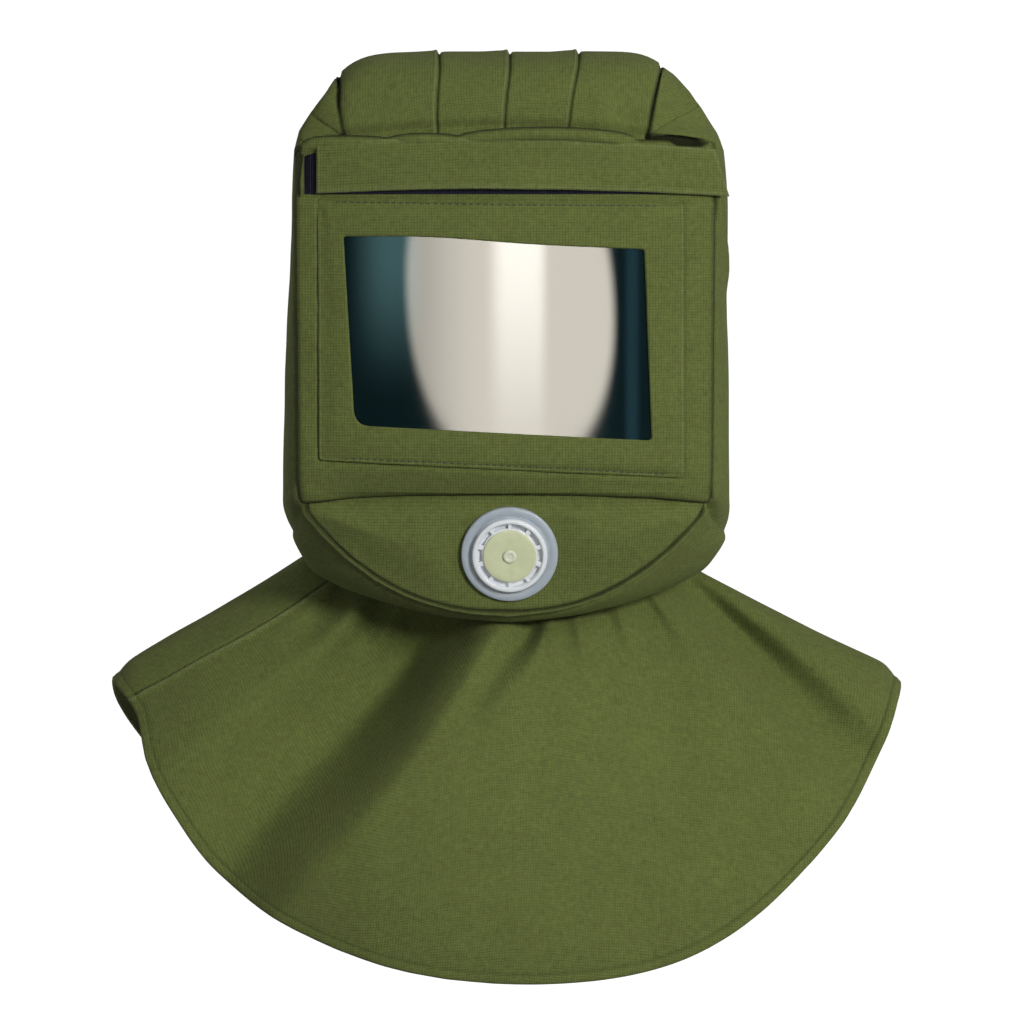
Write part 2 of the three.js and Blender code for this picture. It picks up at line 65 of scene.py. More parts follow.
CROWN_HALF = 0.091
CROWN_TUCKS = (-0.039, 0.0, 0.039)
CROWN_TUCK_END = 5.0
CROWN_UNDERLAP = 0.012
CROWN_ALLOWANCE = np.array([0.0015, 0, -0.006])
CROWN_ASKEW = 0.0055
CROWN_ASKEW_TOP = 0.0030
CROWN_RIGHT_LIFT = 0.0065
CROWN_FLATNESS = 9
CROWN_SINKS_AT_FACE = 0.0035
CROWN_SEAM_ROLL = (0.0026, 0.0034)
CROWN_DENTS = [  # height, x and its reach, z and its reach
    (-0.0045, 0.073, 0.010, -0.041, 0.013),
    (0.0016, 0.058, 0.008, -0.036, 0.014),
]
TUCK_SWELL = 0.0008
TUCK_RIDGE = 0.0005
TUCK_GROOVE = 0.0017
TUCK_GROOVE_AT = 0.0013
TUCK_FADE = 1.2
PANEL_INSIDE = 0.0022
CROWN_ROWS = [  # y and z of the middle line, y and z of the seam, half the width
    (-0.112, -0.024, -0.101, -0.033, 0.094),
    (-0.094, -0.008, -0.085, -0.020, 0.0965),
    (-0.058, 0.000, -0.054, -0.0145, 0.098),
    (0.000, 0.0016, 0.000, -0.0140, 0.098),
    (0.056, -0.005, 0.050, -0.020, 0.096),
    (0.100, -0.032, 0.090, -0.041, 0.091),
    (0.127, -0.085, 0.116, -0.088, 0.086),
    (0.137, -0.150, 0.124, -0.150, 0.083),
    (0.132, -0.218, 0.118, -0.216, 0.080),
    (0.117, -0.272, 0.102, -0.268, 0.076),
]


def mix(a, b, t):
    return a + (b - a) * t


def ease(value, start, end):
    t = np.clip((value - start) / (end - start), 0, 1)
    return t * t * (3 - 2 * t)


def hump(value, middle, reach):
    """1 at the middle, falling smoothly to about a third at the reach on both sides and to 0 beyond."""
    return np.exp(-(((value - middle) / reach) ** 2))


def between(rows, place):
    """Every column of a table at places between its rows, on smooth curves through the rows."""
    table = np.array(rows, float)
    last = len(table) - 1
    row = np.clip(np.floor(place).astype(int), 0, last - 1)
    t = (place - row)[..., None]
    a, b, c, d = (table[np.clip(row + step, 0, last)] for step in (-1, 0, 1, 2))
    bend = (2 * a - 5 * b + 4 * c - d) * t**2 + (3 * b - a - 3 * c + d) * t**3
    return np.moveaxis(b + 0.5 * ((c - a) * t + bend), -1, 0)


def closer_at_ends(count, share=0.45):
    """Places from 0 to 1 that lie closer together towards both ends, where the seams are."""
    t = np.linspace(0, 1, count)
    return mix(t, 0.5 - 0.5 * np.cos(math.pi * t), share)


def along_rows(points):
    steps = np.linalg.norm(np.diff(points, axis=1), axis=2)
    return np.concatenate([np.zeros((len(points), 1)), np.cumsum(steps, 1)], 1)


def along_columns(points):
    return along_rows(points.swapaxes(0, 1)).T


def from_edges(points):
    """How far each point of a grid is along the cloth from the left, the right, the top and the low edge."""
    across, down = along_rows(points), along_columns(points)
    return across, across[:, -1:] - across, down, down[-1:] - down


def outward(points, loop=False):
    """Normals of a grid whose columns run to the right and rows run down, seen from outside."""
    if loop:
        right = np.roll(points, -1, 1) - np.roll(points, 1, 1)
    else:
        right = np.gradient(points, axis=1)
    normal = np.cross(np.gradient(points, axis=0), right)
    return normal / np.maximum(np.linalg.norm(normal, axis=2, keepdims=True), 1e-12)


def puff(points, amount, loop=False):
    return points + outward(points, loop) * amount[..., None]


def ripple(points, size, seed):
    """Smooth chance waves of about the given size, from -1 to 1."""
    shift = Vector((7.1 * seed, 3.7 * seed, 5.3 * seed))
    flat = points.reshape(-1, 3) / size
    waves = [noise.noise(Vector(point) + shift) for point in flat]
    return np.array(waves).reshape(points.shape[:-1])


def ripple_along(x, size, seed):
    """Chance waves that run along x alone."""
    return ripple(np.stack([x, np.zeros_like(x), np.zeros_like(x)], -1), size, seed)


def seam_roll(distance, depth=0.003, reach=0.007):
    """How far the cloth turns in where it is sewn to its neighbour, by distance from the seam."""
    t = np.clip(1 - distance / reach, 0, 1)
    return -depth * (1 - np.sqrt(1 - t * t * 0.999))


def seam_pucker(points, distance, seed, height=0.0006, reach=0.012):
    return ripple(points, 0.009, seed) * height * np.exp(-distance / reach)


def painted_crease_shade(distance, reach=0.0014):
    """Painted shade that darkens a seam, crease or groove, by distance from it."""
    return -0.88 * np.exp(-((distance / reach) ** 2))


def slack(points, seed, height=0.0012, size=0.07):
    """The slight waves that limp cloth has everywhere."""
    return height * (ripple(points, size, seed) + 0.4 * ripple(points, size / 2.6, seed + 1))


def new_material(name):
    material = bpy.data.materials.new(name)
    material.use_nodes = True
    tree = material.node_tree
    return material, tree, tree.nodes["Principled BSDF"]


def add_node(tree, kind, inputs, operation=None, data_type=None):
    """Adds a shader node. Each of the inputs is given a value or another node's output."""
    node = tree.nodes.new("ShaderNode" + kind)
    if operation:
        node.operation = operation
    if data_type:
        node.data_type = data_type
    for name, value in inputs.items():
        if isinstance(value, bpy.types.NodeSocket):
            tree.links.new(value, node.inputs[name])
        else:
            node.inputs[name].default_value = value
    return node


def calc(tree, operation, *values):
    return add_node(tree, "Math", dict(enumerate(values)), operation).outputs["Value"]


def object_place(tree):
    return tree.nodes.new("ShaderNodeTexCoord").outputs["Object"]


def stretched(tree, vector, scale):
    return add_node(tree, "Mapping", {"Vector": vector, "Scale": scale}).outputs["Vector"]


def speckle(tree, vector, scale, detail=2, roughness=0.5):
    inputs = {"Vector": vector, "Scale": scale, "Detail": detail, "Roughness": roughness}
    return add_node(tree, "TexNoise", inputs).outputs["Fac"]


def blend(tree, share, dark, pale):
    inputs = {"Factor": share, "A": (*dark, 1), "B": (*pale, 1)}
    return add_node(tree, "Mix", inputs, data_type="RGBA").outputs["Result"]


def bumpy(tree, height, distance, strength=1.0):
    inputs = {"Height": height, "Distance": distance, "Strength": strength}
    return add_node(tree, "Bump", inputs).outputs["Normal"]


def canvas_material():
    """Plain-weave canvas: round threads crossing each other, uneven in thickness and in dye."""
    material, tree, shader = new_material("canvas")
    shader.inputs["Roughness"].default_value = 0.92
    shader.inputs["Specular IOR Level"].default_value = 0.15
    shader.inputs["Sheen Weight"].default_value = 0.04
    shader.inputs["Sheen Roughness"].default_value = 0.6
    shader.inputs["Sheen Tint"].default_value = (0.75, 0.8, 0.45, 1)
    weave = tree.nodes.new("ShaderNodeUVMap")
    weave.uv_map = "weave"
    weave = weave.outputs["UV"]
    place = object_place(tree)

    # The threads wander a little, and each is round across, so that two sines make a grid of crossings.
    drift = add_node(tree, "TexNoise", {"Vector": place, "Scale": 150}).outputs["Color"]
    sway = (THREAD_WANDER, THREAD_WANDER, 0)
    wander = add_node(tree, "VectorMath", {0: drift, 1: sway, 2: weave}, "MULTIPLY_ADD")
    apart = add_node(tree, "SeparateXYZ", {"Vector": wander.outputs["Vector"]})
    threads = []
    for way in "XY":
        turn = calc(tree, "MULTIPLY", apart.outputs[way], math.pi / THREAD_PITCH)
        threads.append(calc(tree, "ABSOLUTE", calc(tree, "SINE", turn)))
    crossing = calc(tree, "SQRT", calc(tree, "MULTIPLY", *threads))
    warp_yarn = speckle(tree, stretched(tree, weave, (620, 150, 1)), 1.0)
    weft_yarn = speckle(tree, stretched(tree, weave, (150, 620, 1)), 1.0)
    yarn = calc(tree, "ADD", warp_yarn, weft_yarn)
    dye = speckle(tree, place, 38, 3, 0.6)
    mottle = speckle(tree, place, 330, 2, 0.6)
    fuzz = speckle(tree, place, 1100)

    shade = calc(tree, "MULTIPLY_ADD", crossing, 0.34, -0.17)
    for grain, amount in ((yarn, 0.30), (dye, 0.20), (mottle, 0.42), (fuzz, 0.42)):
        shade = calc(tree, "MULTIPLY_ADD", grain, amount, shade)
    # The attribute below 0 darkens the colour as painted shade in seams, creases and grooves, and above 0
    # makes it paler along ridges and raised edges.
    painted_shade_and_pale = tree.nodes.new("ShaderNodeAttribute")
    painted_shade_and_pale.attribute_name = "painted_shade_and_pale"
    painted_shade_and_pale = painted_shade_and_pale.outputs["Fac"]
    colour = blend(tree, painted_shade_and_pale, CANVAS_GREEN, CANVAS_PALE)
    painted_darkening = calc(tree, "ADD", calc(tree, "MINIMUM", painted_shade_and_pale, 0.0), 1.0)
    shade = calc(tree, "MULTIPLY", shade, painted_darkening)
    shaded = add_node(tree, "VectorMath", {0: colour, "Scale": shade}, "SCALE")
    tree.links.new(shaded.outputs["Vector"], shader.inputs["Base Color"])

    height = calc(tree, "MULTIPLY_ADD", yarn, 0.5, crossing)
    height = calc(tree, "MULTIPLY_ADD", fuzz, 0.25, height)
    tree.links.new(bumpy(tree, height, 0.00035, 0.55), shader.inputs["Normal"])
    return material


canvas = canvas_material()


def select_only(piece):
    bpy.ops.object.select_all(action="DESELECT")
    piece.select_set(True)
    bpy.context.view_layer.objects.active = piece


def new_piece(name, points, faces):
    mesh = bpy.data.meshes.new(name)
    mesh.from_pydata(points.reshape(-1, 3).tolist(), [], faces)
    piece = bpy.data.objects.new(name, mesh)
    bpy.context.scene.collection.objects.link(piece)
    return piece


def thicken(piece, thickness, offset=-1):
    """Gives a surface a wall, which at an offset of -1 lies behind it."""
    select_only(piece)
    wall = piece.modifiers.new("wall", "SOLIDIFY")
    wall.thickness = thickness
    wall.offset = offset
    bpy.ops.object.modifier_apply(modifier="wall")


def cloth(name, points, weave, painted_shade_and_pale=None, loop=False, thick=CANVAS_THICK):
    """A panel of canvas from a grid of points on its outside, with its weave laid out in metres.

    Its painted shade and pale runs from -1, blackened as painted shade, through 0, to 1, paler.
    """
    rows, columns = points.shape[:2]
    index = np.arange(rows * columns).reshape(rows, columns)
    left, right = (index, np.roll(index, -1, 1)) if loop else (index[:, :-1], index[:, 1:])
    faces = np.stack([left[:-1], left[1:], right[1:], right[:-1]], -1).reshape(-1, 4)
    piece = new_piece(name, points, faces.tolist())
    mesh = piece.data
    layer = mesh.uv_layers.new(name="weave")
    layer.data.foreach_set("uv", weave.reshape(-1, 2)[faces.ravel()].astype(np.float32).ravel())
    attribute = mesh.attributes.new("painted_shade_and_pale", "FLOAT", "POINT")
    if painted_shade_and_pale is not None:
        attribute.data.foreach_set("value", np.clip(painted_shade_and_pale, -1, 1).astype(np.float32).ravel())
    thicken(piece, thick)
    bpy.ops.object.shade_smooth_by_angle(angle=math.radians(55))
    mesh.materials.append(canvas)
    return piece


def laid_flat(points):
    """Weave places of a grid: how far each point is along its row and down its column, in metres."""
    across, down = along_rows(points), along_columns(points)
    middle = points.shape[1] // 2
    return np.stack([across - across[:, middle : middle + 1], -down], -1)


def face_top(x):
    return FACE_TOP - FACE_TOP_DROP * (x / CROWN_HALF) ** 2


def face_point(x, z, off=0.0):
    below = np.maximum(0, SEAM_MIDDLE - z)
    return np.stack([x, FACE_FRONT + x * x / (2 * FACE_RADIUS) + below * CHIN_SLOPE - off, z], -1)


def neck_point(degrees):
    """The neck seam by angle: 0 in front, 90 at the right, 180 behind."""
    angle = np.radians(degrees)
    sine, cosine = np.sin(angle), np.cos(angle)
    end_z = np.where(cosine > 0, NECK_FRONT_Z, NECK_BACK_Z)
    x = NECK_HALF_WIDTH * np.sign(sine) * np.abs(sine) ** (2 / NECK_SQUARENESS)
    y = NECK_MIDDLE - NECK_HALF_DEPTH * np.sign(cosine) * np.abs(cosine) ** (2 / NECK_SQUARENESS)
    return np.stack([x, y, mix(NECK_SIDE_Z, end_z, cosine**2)], -1)


def crown_row(middle, seam):
    return (middle[1], middle[2], seam[1], seam[2], seam[0])


def face_place(x):
    return face_point(np.array(x), face_top(np.array(x)))


CROWN_ROWS.insert(0, crown_row(face_place(0.0), face_place(CROWN_HALF)))
CROWN_ROWS.append(crown_row(neck_point(np.array(180.0)), neck_point(np.array(180.0 - NECK_BACK_DEG))))
CROWN_END = len(CROWN_ROWS) - 1


def crown_point(across, place):
    """The crown's outside. Its front sits askew on the face, with both its seams a little to the left."""
    y_mid, z_mid, y_edge, z_edge, half = between(CROWN_ROWS, place)
    fall = mix(across**2, np.abs(across) ** CROWN_FLATNESS, ease(place, 0, 1.5))
    past_front = ease(place, 0.8, 2.4)
    on_top = past_front * (1 - ease(place, 3.5, 6.5))
    askew = across**2 * (CROWN_ASKEW * (1 - past_front) + CROWN_ASKEW_TOP * on_top)
    point = np.stack([across * half - askew, mix(y_mid, y_edge, across**2), mix(z_mid, z_edge, fall)], -1)
    point[..., 2] += CROWN_RIGHT_LIFT * np.clip(across, 0, 1) ** CROWN_FLATNESS * on_top
    near_neck = ease(place, CROWN_END - 2, CROWN_END)[..., None]
    return mix(point, neck_point(180 - across * NECK_BACK_DEG), near_neck)


def tuck_line(tuck, place):
    return tuck + mix(-0.0016, 0.0014, ease(place, 0, 2))


def tuck_fade(place):
    return 1 - ease(place, CROWN_TUCK_END - TUCK_FADE, CROWN_TUCK_END)


def tuck_height(x, place):
    """Each tuck is a fold sewn flat: the cloth rises to its ridge, drops sharply, and rises again."""
    height = np.zeros_like(x)
    for tuck in CROWN_TUCKS:
        from_ridge = x - tuck_line(tuck, place)
        swell = TUCK_SWELL * hump(from_ridge, 0, 0.011) * (from_ridge <= 0)
        step = TUCK_SWELL * (1 - ease(from_ridge, 0, 0.0011)) * (from_ridge > 0)
        ridge = TUCK_RIDGE * hump(from_ridge, -0.0006, 0.0011)
        groove = -TUCK_GROOVE * hump(from_ridge, TUCK_GROOVE_AT, 0.0009)
        height += swell + ridge + step + groove
    return height * tuck_fade(place)


beside_tuck = np.linspace(-0.014, -0.005, 4)
at_tuck = np.arange(-0.004, 0.0043, 0.0004)
tuck_steps = np.concatenate([beside_tuck, at_tuck, [0.006, 0.010]])
tuck_columns = np.concatenate([tuck + tuck_steps for tuck in CROWN_TUCKS]) / CROWN_HALF
side_columns = np.concatenate([closer_at_ends(40)[:12] * 2 - 1, 1 - closer_at_ends(40)[:12] * 2])
crown_columns = np.unique(np.round(np.concatenate([tuck_columns, side_columns]), 5))
crown_rows = CROWN_END * (1 - closer_at_ends(170, 0.3))
across, place = np.meshgrid(crown_columns, crown_rows)
points = crown_point(across, place)
left_edge, right_edge = from_edges(points)[:2]
seam = np.minimum(left_edge, right_edge)
amount = tuck_height(across * CROWN_HALF, place)
amount += seam_roll(seam, *CROWN_SEAM_ROLL) + slack(points, 5, 0.0011) * ease(seam, 0, 0.02)
amount -= CROWN_SINKS_AT_FACE * (1 - ease(place, 0, 0.35))

# The right temple has a dent, and a swelling beside it.
x, z = points[..., 0], points[..., 2]
for height, at_x, reach_x, at_z, reach_z in CROWN_DENTS:
    amount += height * hump(x, at_x, reach_x) * hump(z, at_z, reach_z) * (place < 3)
points = puff(points, amount)
# Paler along each tuck's ridge; painted shade in each tuck's groove and along both seams.
tuck_shade_and_pale = np.zeros_like(place)
for tuck in CROWN_TUCKS:
    from_ridge = across * CROWN_HALF - tuck_line(tuck, place)
    tuck_shade_and_pale += 0.2 * hump(from_ridge, -0.0008, 0.0012)
    tuck_shade_and_pale += 0.5 * painted_crease_shade(from_ridge - TUCK_GROOVE_AT, 0.0007)
painted_shade_and_pale = tuck_shade_and_pale * tuck_fade(place) + painted_crease_shade(seam, 0.0010)

# Seam allowances hang inside both seams, and an underlap is pressed behind the front panel.
left_allowance = points[:, :1] + CROWN_ALLOWANCE * np.array([-1, 1, 1])
right_allowance = points[:, -1:] + CROWN_ALLOWANCE
points = np.concatenate([left_allowance, points, right_allowance], 1)
unpainted = np.zeros_like(painted_shade_and_pale[:, :1])
painted_shade_and_pale = np.concatenate([unpainted, painted_shade_and_pale, unpainted], 1)
front_row = points[-1]
underlap = []
for share in (0.25, 0.5, 0.75, 1):
    down = CROWN_UNDERLAP * share
    behind_panel = face_point(front_row[:, 0], front_row[:, 2] - down, -PANEL_INSIDE)
    underlap.append(mix(front_row - np.array([0, 0, down]), behind_panel, ease(share, 0, 1)))
points = np.concatenate([points, np.array(underlap)])
painted_shade_and_pale = np.concatenate([painted_shade_and_pale, np.repeat(painted_shade_and_pale[-1:], len(underlap), 0)])
crown = cloth("crown_canvas", points, laid_flat(points), painted_shade_and_pale)
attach(crown, "root")
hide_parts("crown")


# Side panels: one for each side, cut to reach from the crown's seam round the ear and under the chin
# to the neck. Their front edges are sewn to the crown, the face and the chin with a raised welt.
FACE_HALF_TOP = 0.126
FACE_HALF_SEAM = 0.124
SEAM_END = -0.267
CHIN_DEPTH = 0.066
CHIN_ROUNDNESS = 2.4
CROWN_TOP_FRONT = 2
CROWN_TOP_BACK = 6
SIDE_FADE = 1.5
SEAM_ALLOWANCE = 0.004
HEAD_MIDDLE = np.array([0, 0, -0.15])
SIDE_ROWS = [  # front and back places, swell outwards and upwards, squareness, extra swell at the right
    (0.00, 0.00, 0.020, 0.018, 3.0, 0.000),
    (1.00, 0.10, 0.038, 0.026, 4.5, 0.005),
    (2.00, 0.20, 0.022, 0.018, 2.8, 0.003),
    (2.50, 0.50, 0.024, 0.005, 2.8, 0.002),
    (3.00, 0.85, 0.028, 0.000, 2.6, 0.004),
    (3.25, 1.25, 0.036, 0.002, 2.2, 0.006),
    (3.62, 1.62, 0.020, -0.006, 2.0, 0.003),
    (4.00, 2.00, 0.000, -0.012, 2.0, 0.000),
]
SIDE_END = len(SIDE_ROWS) - 1
SIDE_REACH = [  # height, how far out the left and the right side lie at most
    (0.0000, 0.0950, 0.0900),
    (-0.0085, 0.0985, 0.0970),
    (-0.0125, 0.1005, 0.1025),
    (-0.0235, 0.1062, 0.1115),
    (-0.0355, 0.1152, 0.1190),
    (-0.0472, 0.1228, 0.1263),
    (-0.0585, 0.1258, 0.1312),
    (-0.0880, 0.1276, 0.1353),
    (-0.1480, 0.1304, 0.1343),
    (-0.1760, 0.1328, 0.1350),
    (-0.2680, 0.1345, 0.1354),
    (-0.2810, 0.1330, 0.1360),
    (-0.2920, 0.1280, 0.1330),
    (-0.3060, 0.1200, 0.1240),
    (-0.3300, 0.1040, 0.1060),
]
SIDE_SOFTNESS = 0.0025
SIDE_BACK_BOX = 2.3
WELT_AT = 0.0026
TEMPLE_ROLL = np.array([0, -0.0062, -0.0010])


def crown_seam(place, hand):
    return crown_point(np.full_like(place, hand), place) * np.array([hand, 1, 1])


def chin_arc(x):
    return SEAM_END - CHIN_DEPTH * (1 - np.abs(x / FACE_HALF_SEAM) ** CHIN_ROUNDNESS)


def side_front(place, hand):
    """The front edge of a side: the crown's seam, the face's top and side, then the chin."""
    corner_z = face_top(FACE_HALF_TOP)
    crown_x = crown_seam(np.zeros(1), hand)[0, 0]
    top_x = mix(crown_x, FACE_HALF_TOP, np.clip(place - 1, 0, 1))
    down = np.clip(place - 2, 0, 1)
    chin_x = FACE_HALF_SEAM * np.clip(4 - place, 0, 1)
    legs = [
        crown_seam(CROWN_TOP_FRONT * (1 - np.clip(place, 0, 1)), hand),
        face_point(top_x, face_top(top_x)),
        face_point(mix(FACE_HALF_TOP, FACE_HALF_SEAM, down), mix(corner_z, SEAM_END, down)),
        face_point(chin_x, chin_arc(chin_x)),
    ]
    leg = np.clip(np.ceil(place).astype(int) - 1, 0, 3)[..., None]
    return np.choose(leg, legs)


def side_back(place, hand):
    along_seam = crown_seam(mix(CROWN_TOP_BACK, CROWN_END, np.clip(place, 0, 1)), hand)
    along_neck = neck_point((180 - NECK_BACK_DEG) * np.clip(2 - place, 0, 1))
    return np.where((place <= 1)[..., None], along_seam, along_neck)


def side_row(place, across, hand):
    front, back, out, lift, box, right = between(SIDE_ROWS, place)
    swell = 1 - np.abs(2 * across - 1) ** np.where(across < 0.5, box, np.minimum(box, SIDE_BACK_BOX))
    point = mix(side_front(front, hand), side_back(back, hand), across[..., None])
    more = (out + (right if hand > 0 else 0)) * swell
    return point + np.stack([more, np.zeros_like(more), lift * swell], -1)


def side_point(across, place, hand):
    """A side's outside, as full as its cut, but held in to the outline that the hood has from the front."""
    top_seam = crown_seam(mix(CROWN_TOP_FRONT, CROWN_TOP_BACK, across), hand)
    correction = top_seam - side_row(np.zeros_like(place), across, hand)
    fade = 1 - ease(place, 0, SIDE_FADE)[..., None]
    points = side_row(place, across, hand) + correction * fade
    heights, left, right = np.array(SIDE_REACH[::-1]).T
    reach = np.interp(points[..., 2], heights, right if hand > 0 else left)
    held = -SIDE_SOFTNESS * np.logaddexp(-points[..., 0] / SIDE_SOFTNESS, -reach / SIDE_SOFTNESS)
    inside = np.sin(np.clip(across, 0, 1) * math.pi) ** 0.5
    points[..., 0] = mix(points[..., 0], held, np.minimum(1, 6 * inside) * ease(place, 0, 0.2))
    return points


def side_panel(name, hand, seed):
    columns = mix(closer_at_ends(110, 0.35), closer_at_ends(110, 0.35) ** 1.5, 0.5)
    rows = SIDE_END * closer_at_ends(170, 0.2)
    across, place = np.meshgrid(columns, rows)
    points = side_point(across, place, hand)
    front_edge, back_edge, top_edge, _ = from_edges(points)
    seam = np.minimum(np.minimum(front_edge, back_edge), top_edge)
    amount = slack(points, seed, 0.0013) * ease(seam, 0, 0.02) + seam_pucker(points, front_edge, seed + 2)
    amount += seam_roll(np.minimum(back_edge, top_edge), *CROWN_SEAM_ROLL)
    chin_side = ease(place, 3.9, 4.2)
    welt = 0.0012 * hump(front_edge, WELT_AT, 0.0018) - 0.0010 * hump(front_edge, 0.0075, 0.003)
    roll_in = mix(0.0024, 0.0046, ease(place, 0.95, 1.4))
    face_side = seam_roll(front_edge, roll_in, roll_in)
    amount += mix(face_side, welt + seam_roll(front_edge, 0.0030, 0.0016), chin_side)
    dart = hump(place, mix(4.06, 4.3, ease(front_edge, 0, 0.03)), 0.05)
    dart *= 1 - ease(front_edge, 0.006, 0.034)
    if hand > 0:
        # The spare cloth at the right temple hangs over the end of the flap in a thick roll.
        roll = ease(place, 0.9, 1.4) * (1 - ease(place, 1.5, 2.0))
        over = roll * hump(front_edge, 0.0060, 0.0075)
        points += over[..., None] * TEMPLE_ROLL
        amount -= 0.002 * roll * hump(front_edge, 0.024, 0.009)
        crease = mix(0.002, 0.026, ease(place, 2.2, 2.75))
        ridge = 0.0019 * hump(front_edge, crease, 0.004)
        valley = 0.0027 * hump(front_edge, crease + 0.007, 0.0035)
        amount += ease(place, 2.1, 2.3) * (1 - ease(place, 2.7, 2.9)) * (ridge - valley)
        amount -= 0.0045 * dart
    else:
        amount -= 0.004 * hump(place, 1.95, 0.12) * hump(front_edge, 0.006, 0.008)
        amount -= 0.0022 * dart
    amount *= ease(np.linalg.norm(points - points[0, 0], axis=-1), 0, 0.012)
    points = puff(points, amount)
    # Paler along the welt at the chin; painted shade along the seams.
    painted_shade_and_pale = chin_side * hump(front_edge, WELT_AT, 0.0016) * 0.3 + painted_crease_shade(seam)
    front = points[:, :1]
    inward = (HEAD_MIDDLE - front) / np.linalg.norm(HEAD_MIDDLE - front, axis=-1, keepdims=True)
    temple = ease(place[:, :1], 1.0, 1.2) * (1 - ease(place[:, :1], 1.6, 1.9))
    turned_in = front + SEAM_ALLOWANCE * inward * ease(place[:, :1], 0, 0.5)[..., None]
    turned_in[..., 2] -= 0.007 * temple
    points = np.concatenate([turned_in, points], 1)
    # The turned-in allowance is darkened whole as painted shade.
    painted_shade_and_pale = np.concatenate([painted_crease_shade(np.zeros_like(front_edge[:, :1])), painted_shade_and_pale], 1)
    if hand < 0:
        points = points[:, ::-1] * np.array([-1, 1, 1])
        painted_shade_and_pale = painted_shade_and_pale[:, ::-1]
    panel = cloth(name, points, laid_flat(points), painted_shade_and_pale)
    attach(panel, "root")
    return panel


side_left = side_panel("side_left_canvas", -1, 11)
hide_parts("side_left")
side_right = side_panel("side_right_canvas", 1, 21)
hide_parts("side_right")


# Front panel: a flat piece of canvas with a hole behind the window. Its top edge is left slack and rolls
# over the crown's seam above the pocket flap, and its lower edge is folded over the chin.
WINDOW = ((-0.0948, -0.111), (0.0817, -0.118), (0.0861, -0.231), (-0.0882, -0.222))
FRAME_AROUND = 400
FAR_FROM_SEAM = 0.05
PANEL_HOLE_MARGIN = 0.003
PANEL_HOLE_RADII = (0.004, 0.004, 0.004, 0.008)
PANEL_RISE = 0.0028
PANEL_OVERLAP = 0.0025
PANEL_CURL = 0.0110
PANEL_CURL_TALL = 0.022
PANEL_CURL_AT_CORNER = 0.004
PATCH = ((-0.1103, -0.0875), (0.1052, -0.0905), (0.1056, -0.2535), (-0.1097, -0.243))
ROLL_BASE_Z = -0.0530
ROLL_SAG = 0.0035
ROLL_TALL = 0.0095
ROLL_LOWEST = -0.062
ROLLS = [  # from x, to x, top of the roll, how far it stands out
    (-0.122, -0.068, -0.0503, 0.0040),
    (-0.070, -0.024, -0.0490, 0.0050),
    (-0.030, 0.078, -0.0455, 0.0066),
]


def grown(corners, by):
    signs = ((-1, 1), (1, 1), (1, -1), (-1, -1))
    return tuple((x + sx * by, z + sz * by) for (x, z), (sx, sz) in zip(corners, signs))


def short_of(corner, towards, distance):
    along = towards - corner
    return corner + along / np.linalg.norm(along, axis=-1, keepdims=True) * distance[..., None]


def round_four(corners, radii, place):
    """A closed path round four corners, 0 to 1 from the first: along the top, down, back and up."""
    corners = np.array(corners)
    side = np.floor(place * 4).astype(int) % 4
    t = (place * 4) % 1
    before, start, end, after = (corners[(side + step) % 4] for step in (-1, 0, 1, 2))
    length = np.linalg.norm(end - start, axis=-1)
    radii = np.array(radii)
    path = mix(start, end, t[..., None])
    for corner, towards, away, radius, distance in (
        (start, end, before, radii[side], t * length),
        (end, start, after, radii[(side + 1) % 4], (1 - t) * length),
    ):
        half = (0.5 + 0.5 * distance / radius)[..., None]
        first, last = short_of(corner, away, radius), short_of(corner, towards, radius)
        curve = (1 - half) ** 2 * first + 2 * half * (1 - half) * corner + half**2 * last
        path = np.where((distance < radius)[..., None], curve, path)
    return path


def roll_shape(x):
    """Height of the slack roll's top and how far it stands out, along the top of the face."""
    right_sag = ease(x, 0.096, 0.104) * (1 - ease(x, 0.116, 0.122))
    left_sag = ease(-x, 0.113, 0.119)
    base = ROLL_BASE_Z - ROLL_SAG * (right_sag + left_sag)
    top = base
    out = np.full_like(x, 0.0008)
    for start, end, height, stands in ROLLS:
        bow = np.clip(4 * (x - start) * (end - x) / (end - start) ** 2, 0, 1) ** 0.45
        top = np.maximum(top, mix(base, height, bow))
        out = np.maximum(out, stands * bow)
    return top, out


def lip_wave(x):
    """The slight waves of the panel's lower edge, which die out at the corners."""
    return 0.0011 * ripple_along(x, 0.03, 37) * ease(0.115 - np.abs(x), 0, 0.02)


def chin_seam(x):
    return mix(SEAM_MIDDLE, SEAM_END, (x / FACE_HALF_SEAM) ** 2)


def front_outline(place):
    side = np.floor(place * 4).astype(int) % 4
    t = (place * 4) % 1
    corner_z = face_top(FACE_HALF_TOP)
    top_x = mix(-FACE_HALF_TOP, FACE_HALF_TOP, t)
    top_z = roll_shape(top_x)[0]
    low_x = mix(FACE_HALF_SEAM, -FACE_HALF_SEAM, t)
    low_z = chin_seam(low_x) - PANEL_OVERLAP + lip_wave(low_x)
    right_x = mix(FACE_HALF_TOP, FACE_HALF_SEAM, t)
    fall = mix(corner_z, SEAM_END, t)
    rise = mix(SEAM_END, corner_z, t)
    left_x = -mix(FACE_HALF_SEAM, FACE_HALF_TOP, t)
    x = np.choose(side, [top_x, right_x, low_x, left_x])
    z = np.choose(side, [top_z, fall, low_z, rise])
    return np.stack([x, z], -1)


def above_lip(x, z):
    return np.where(z < -0.2, np.maximum(0, z - chin_seam(x) + PANEL_OVERLAP), FAR_FROM_SEAM)


def at_corner(x):
    return ease(np.abs(x), 0.085, 0.12)


def lip_curl(x, low_gap):
    """How far the panel curls in towards its lower edge."""
    depth = mix(PANEL_CURL, PANEL_CURL_AT_CORNER, at_corner(x))
    return -depth * np.clip(1 - low_gap / PANEL_CURL_TALL, 0, 1) ** 1.4


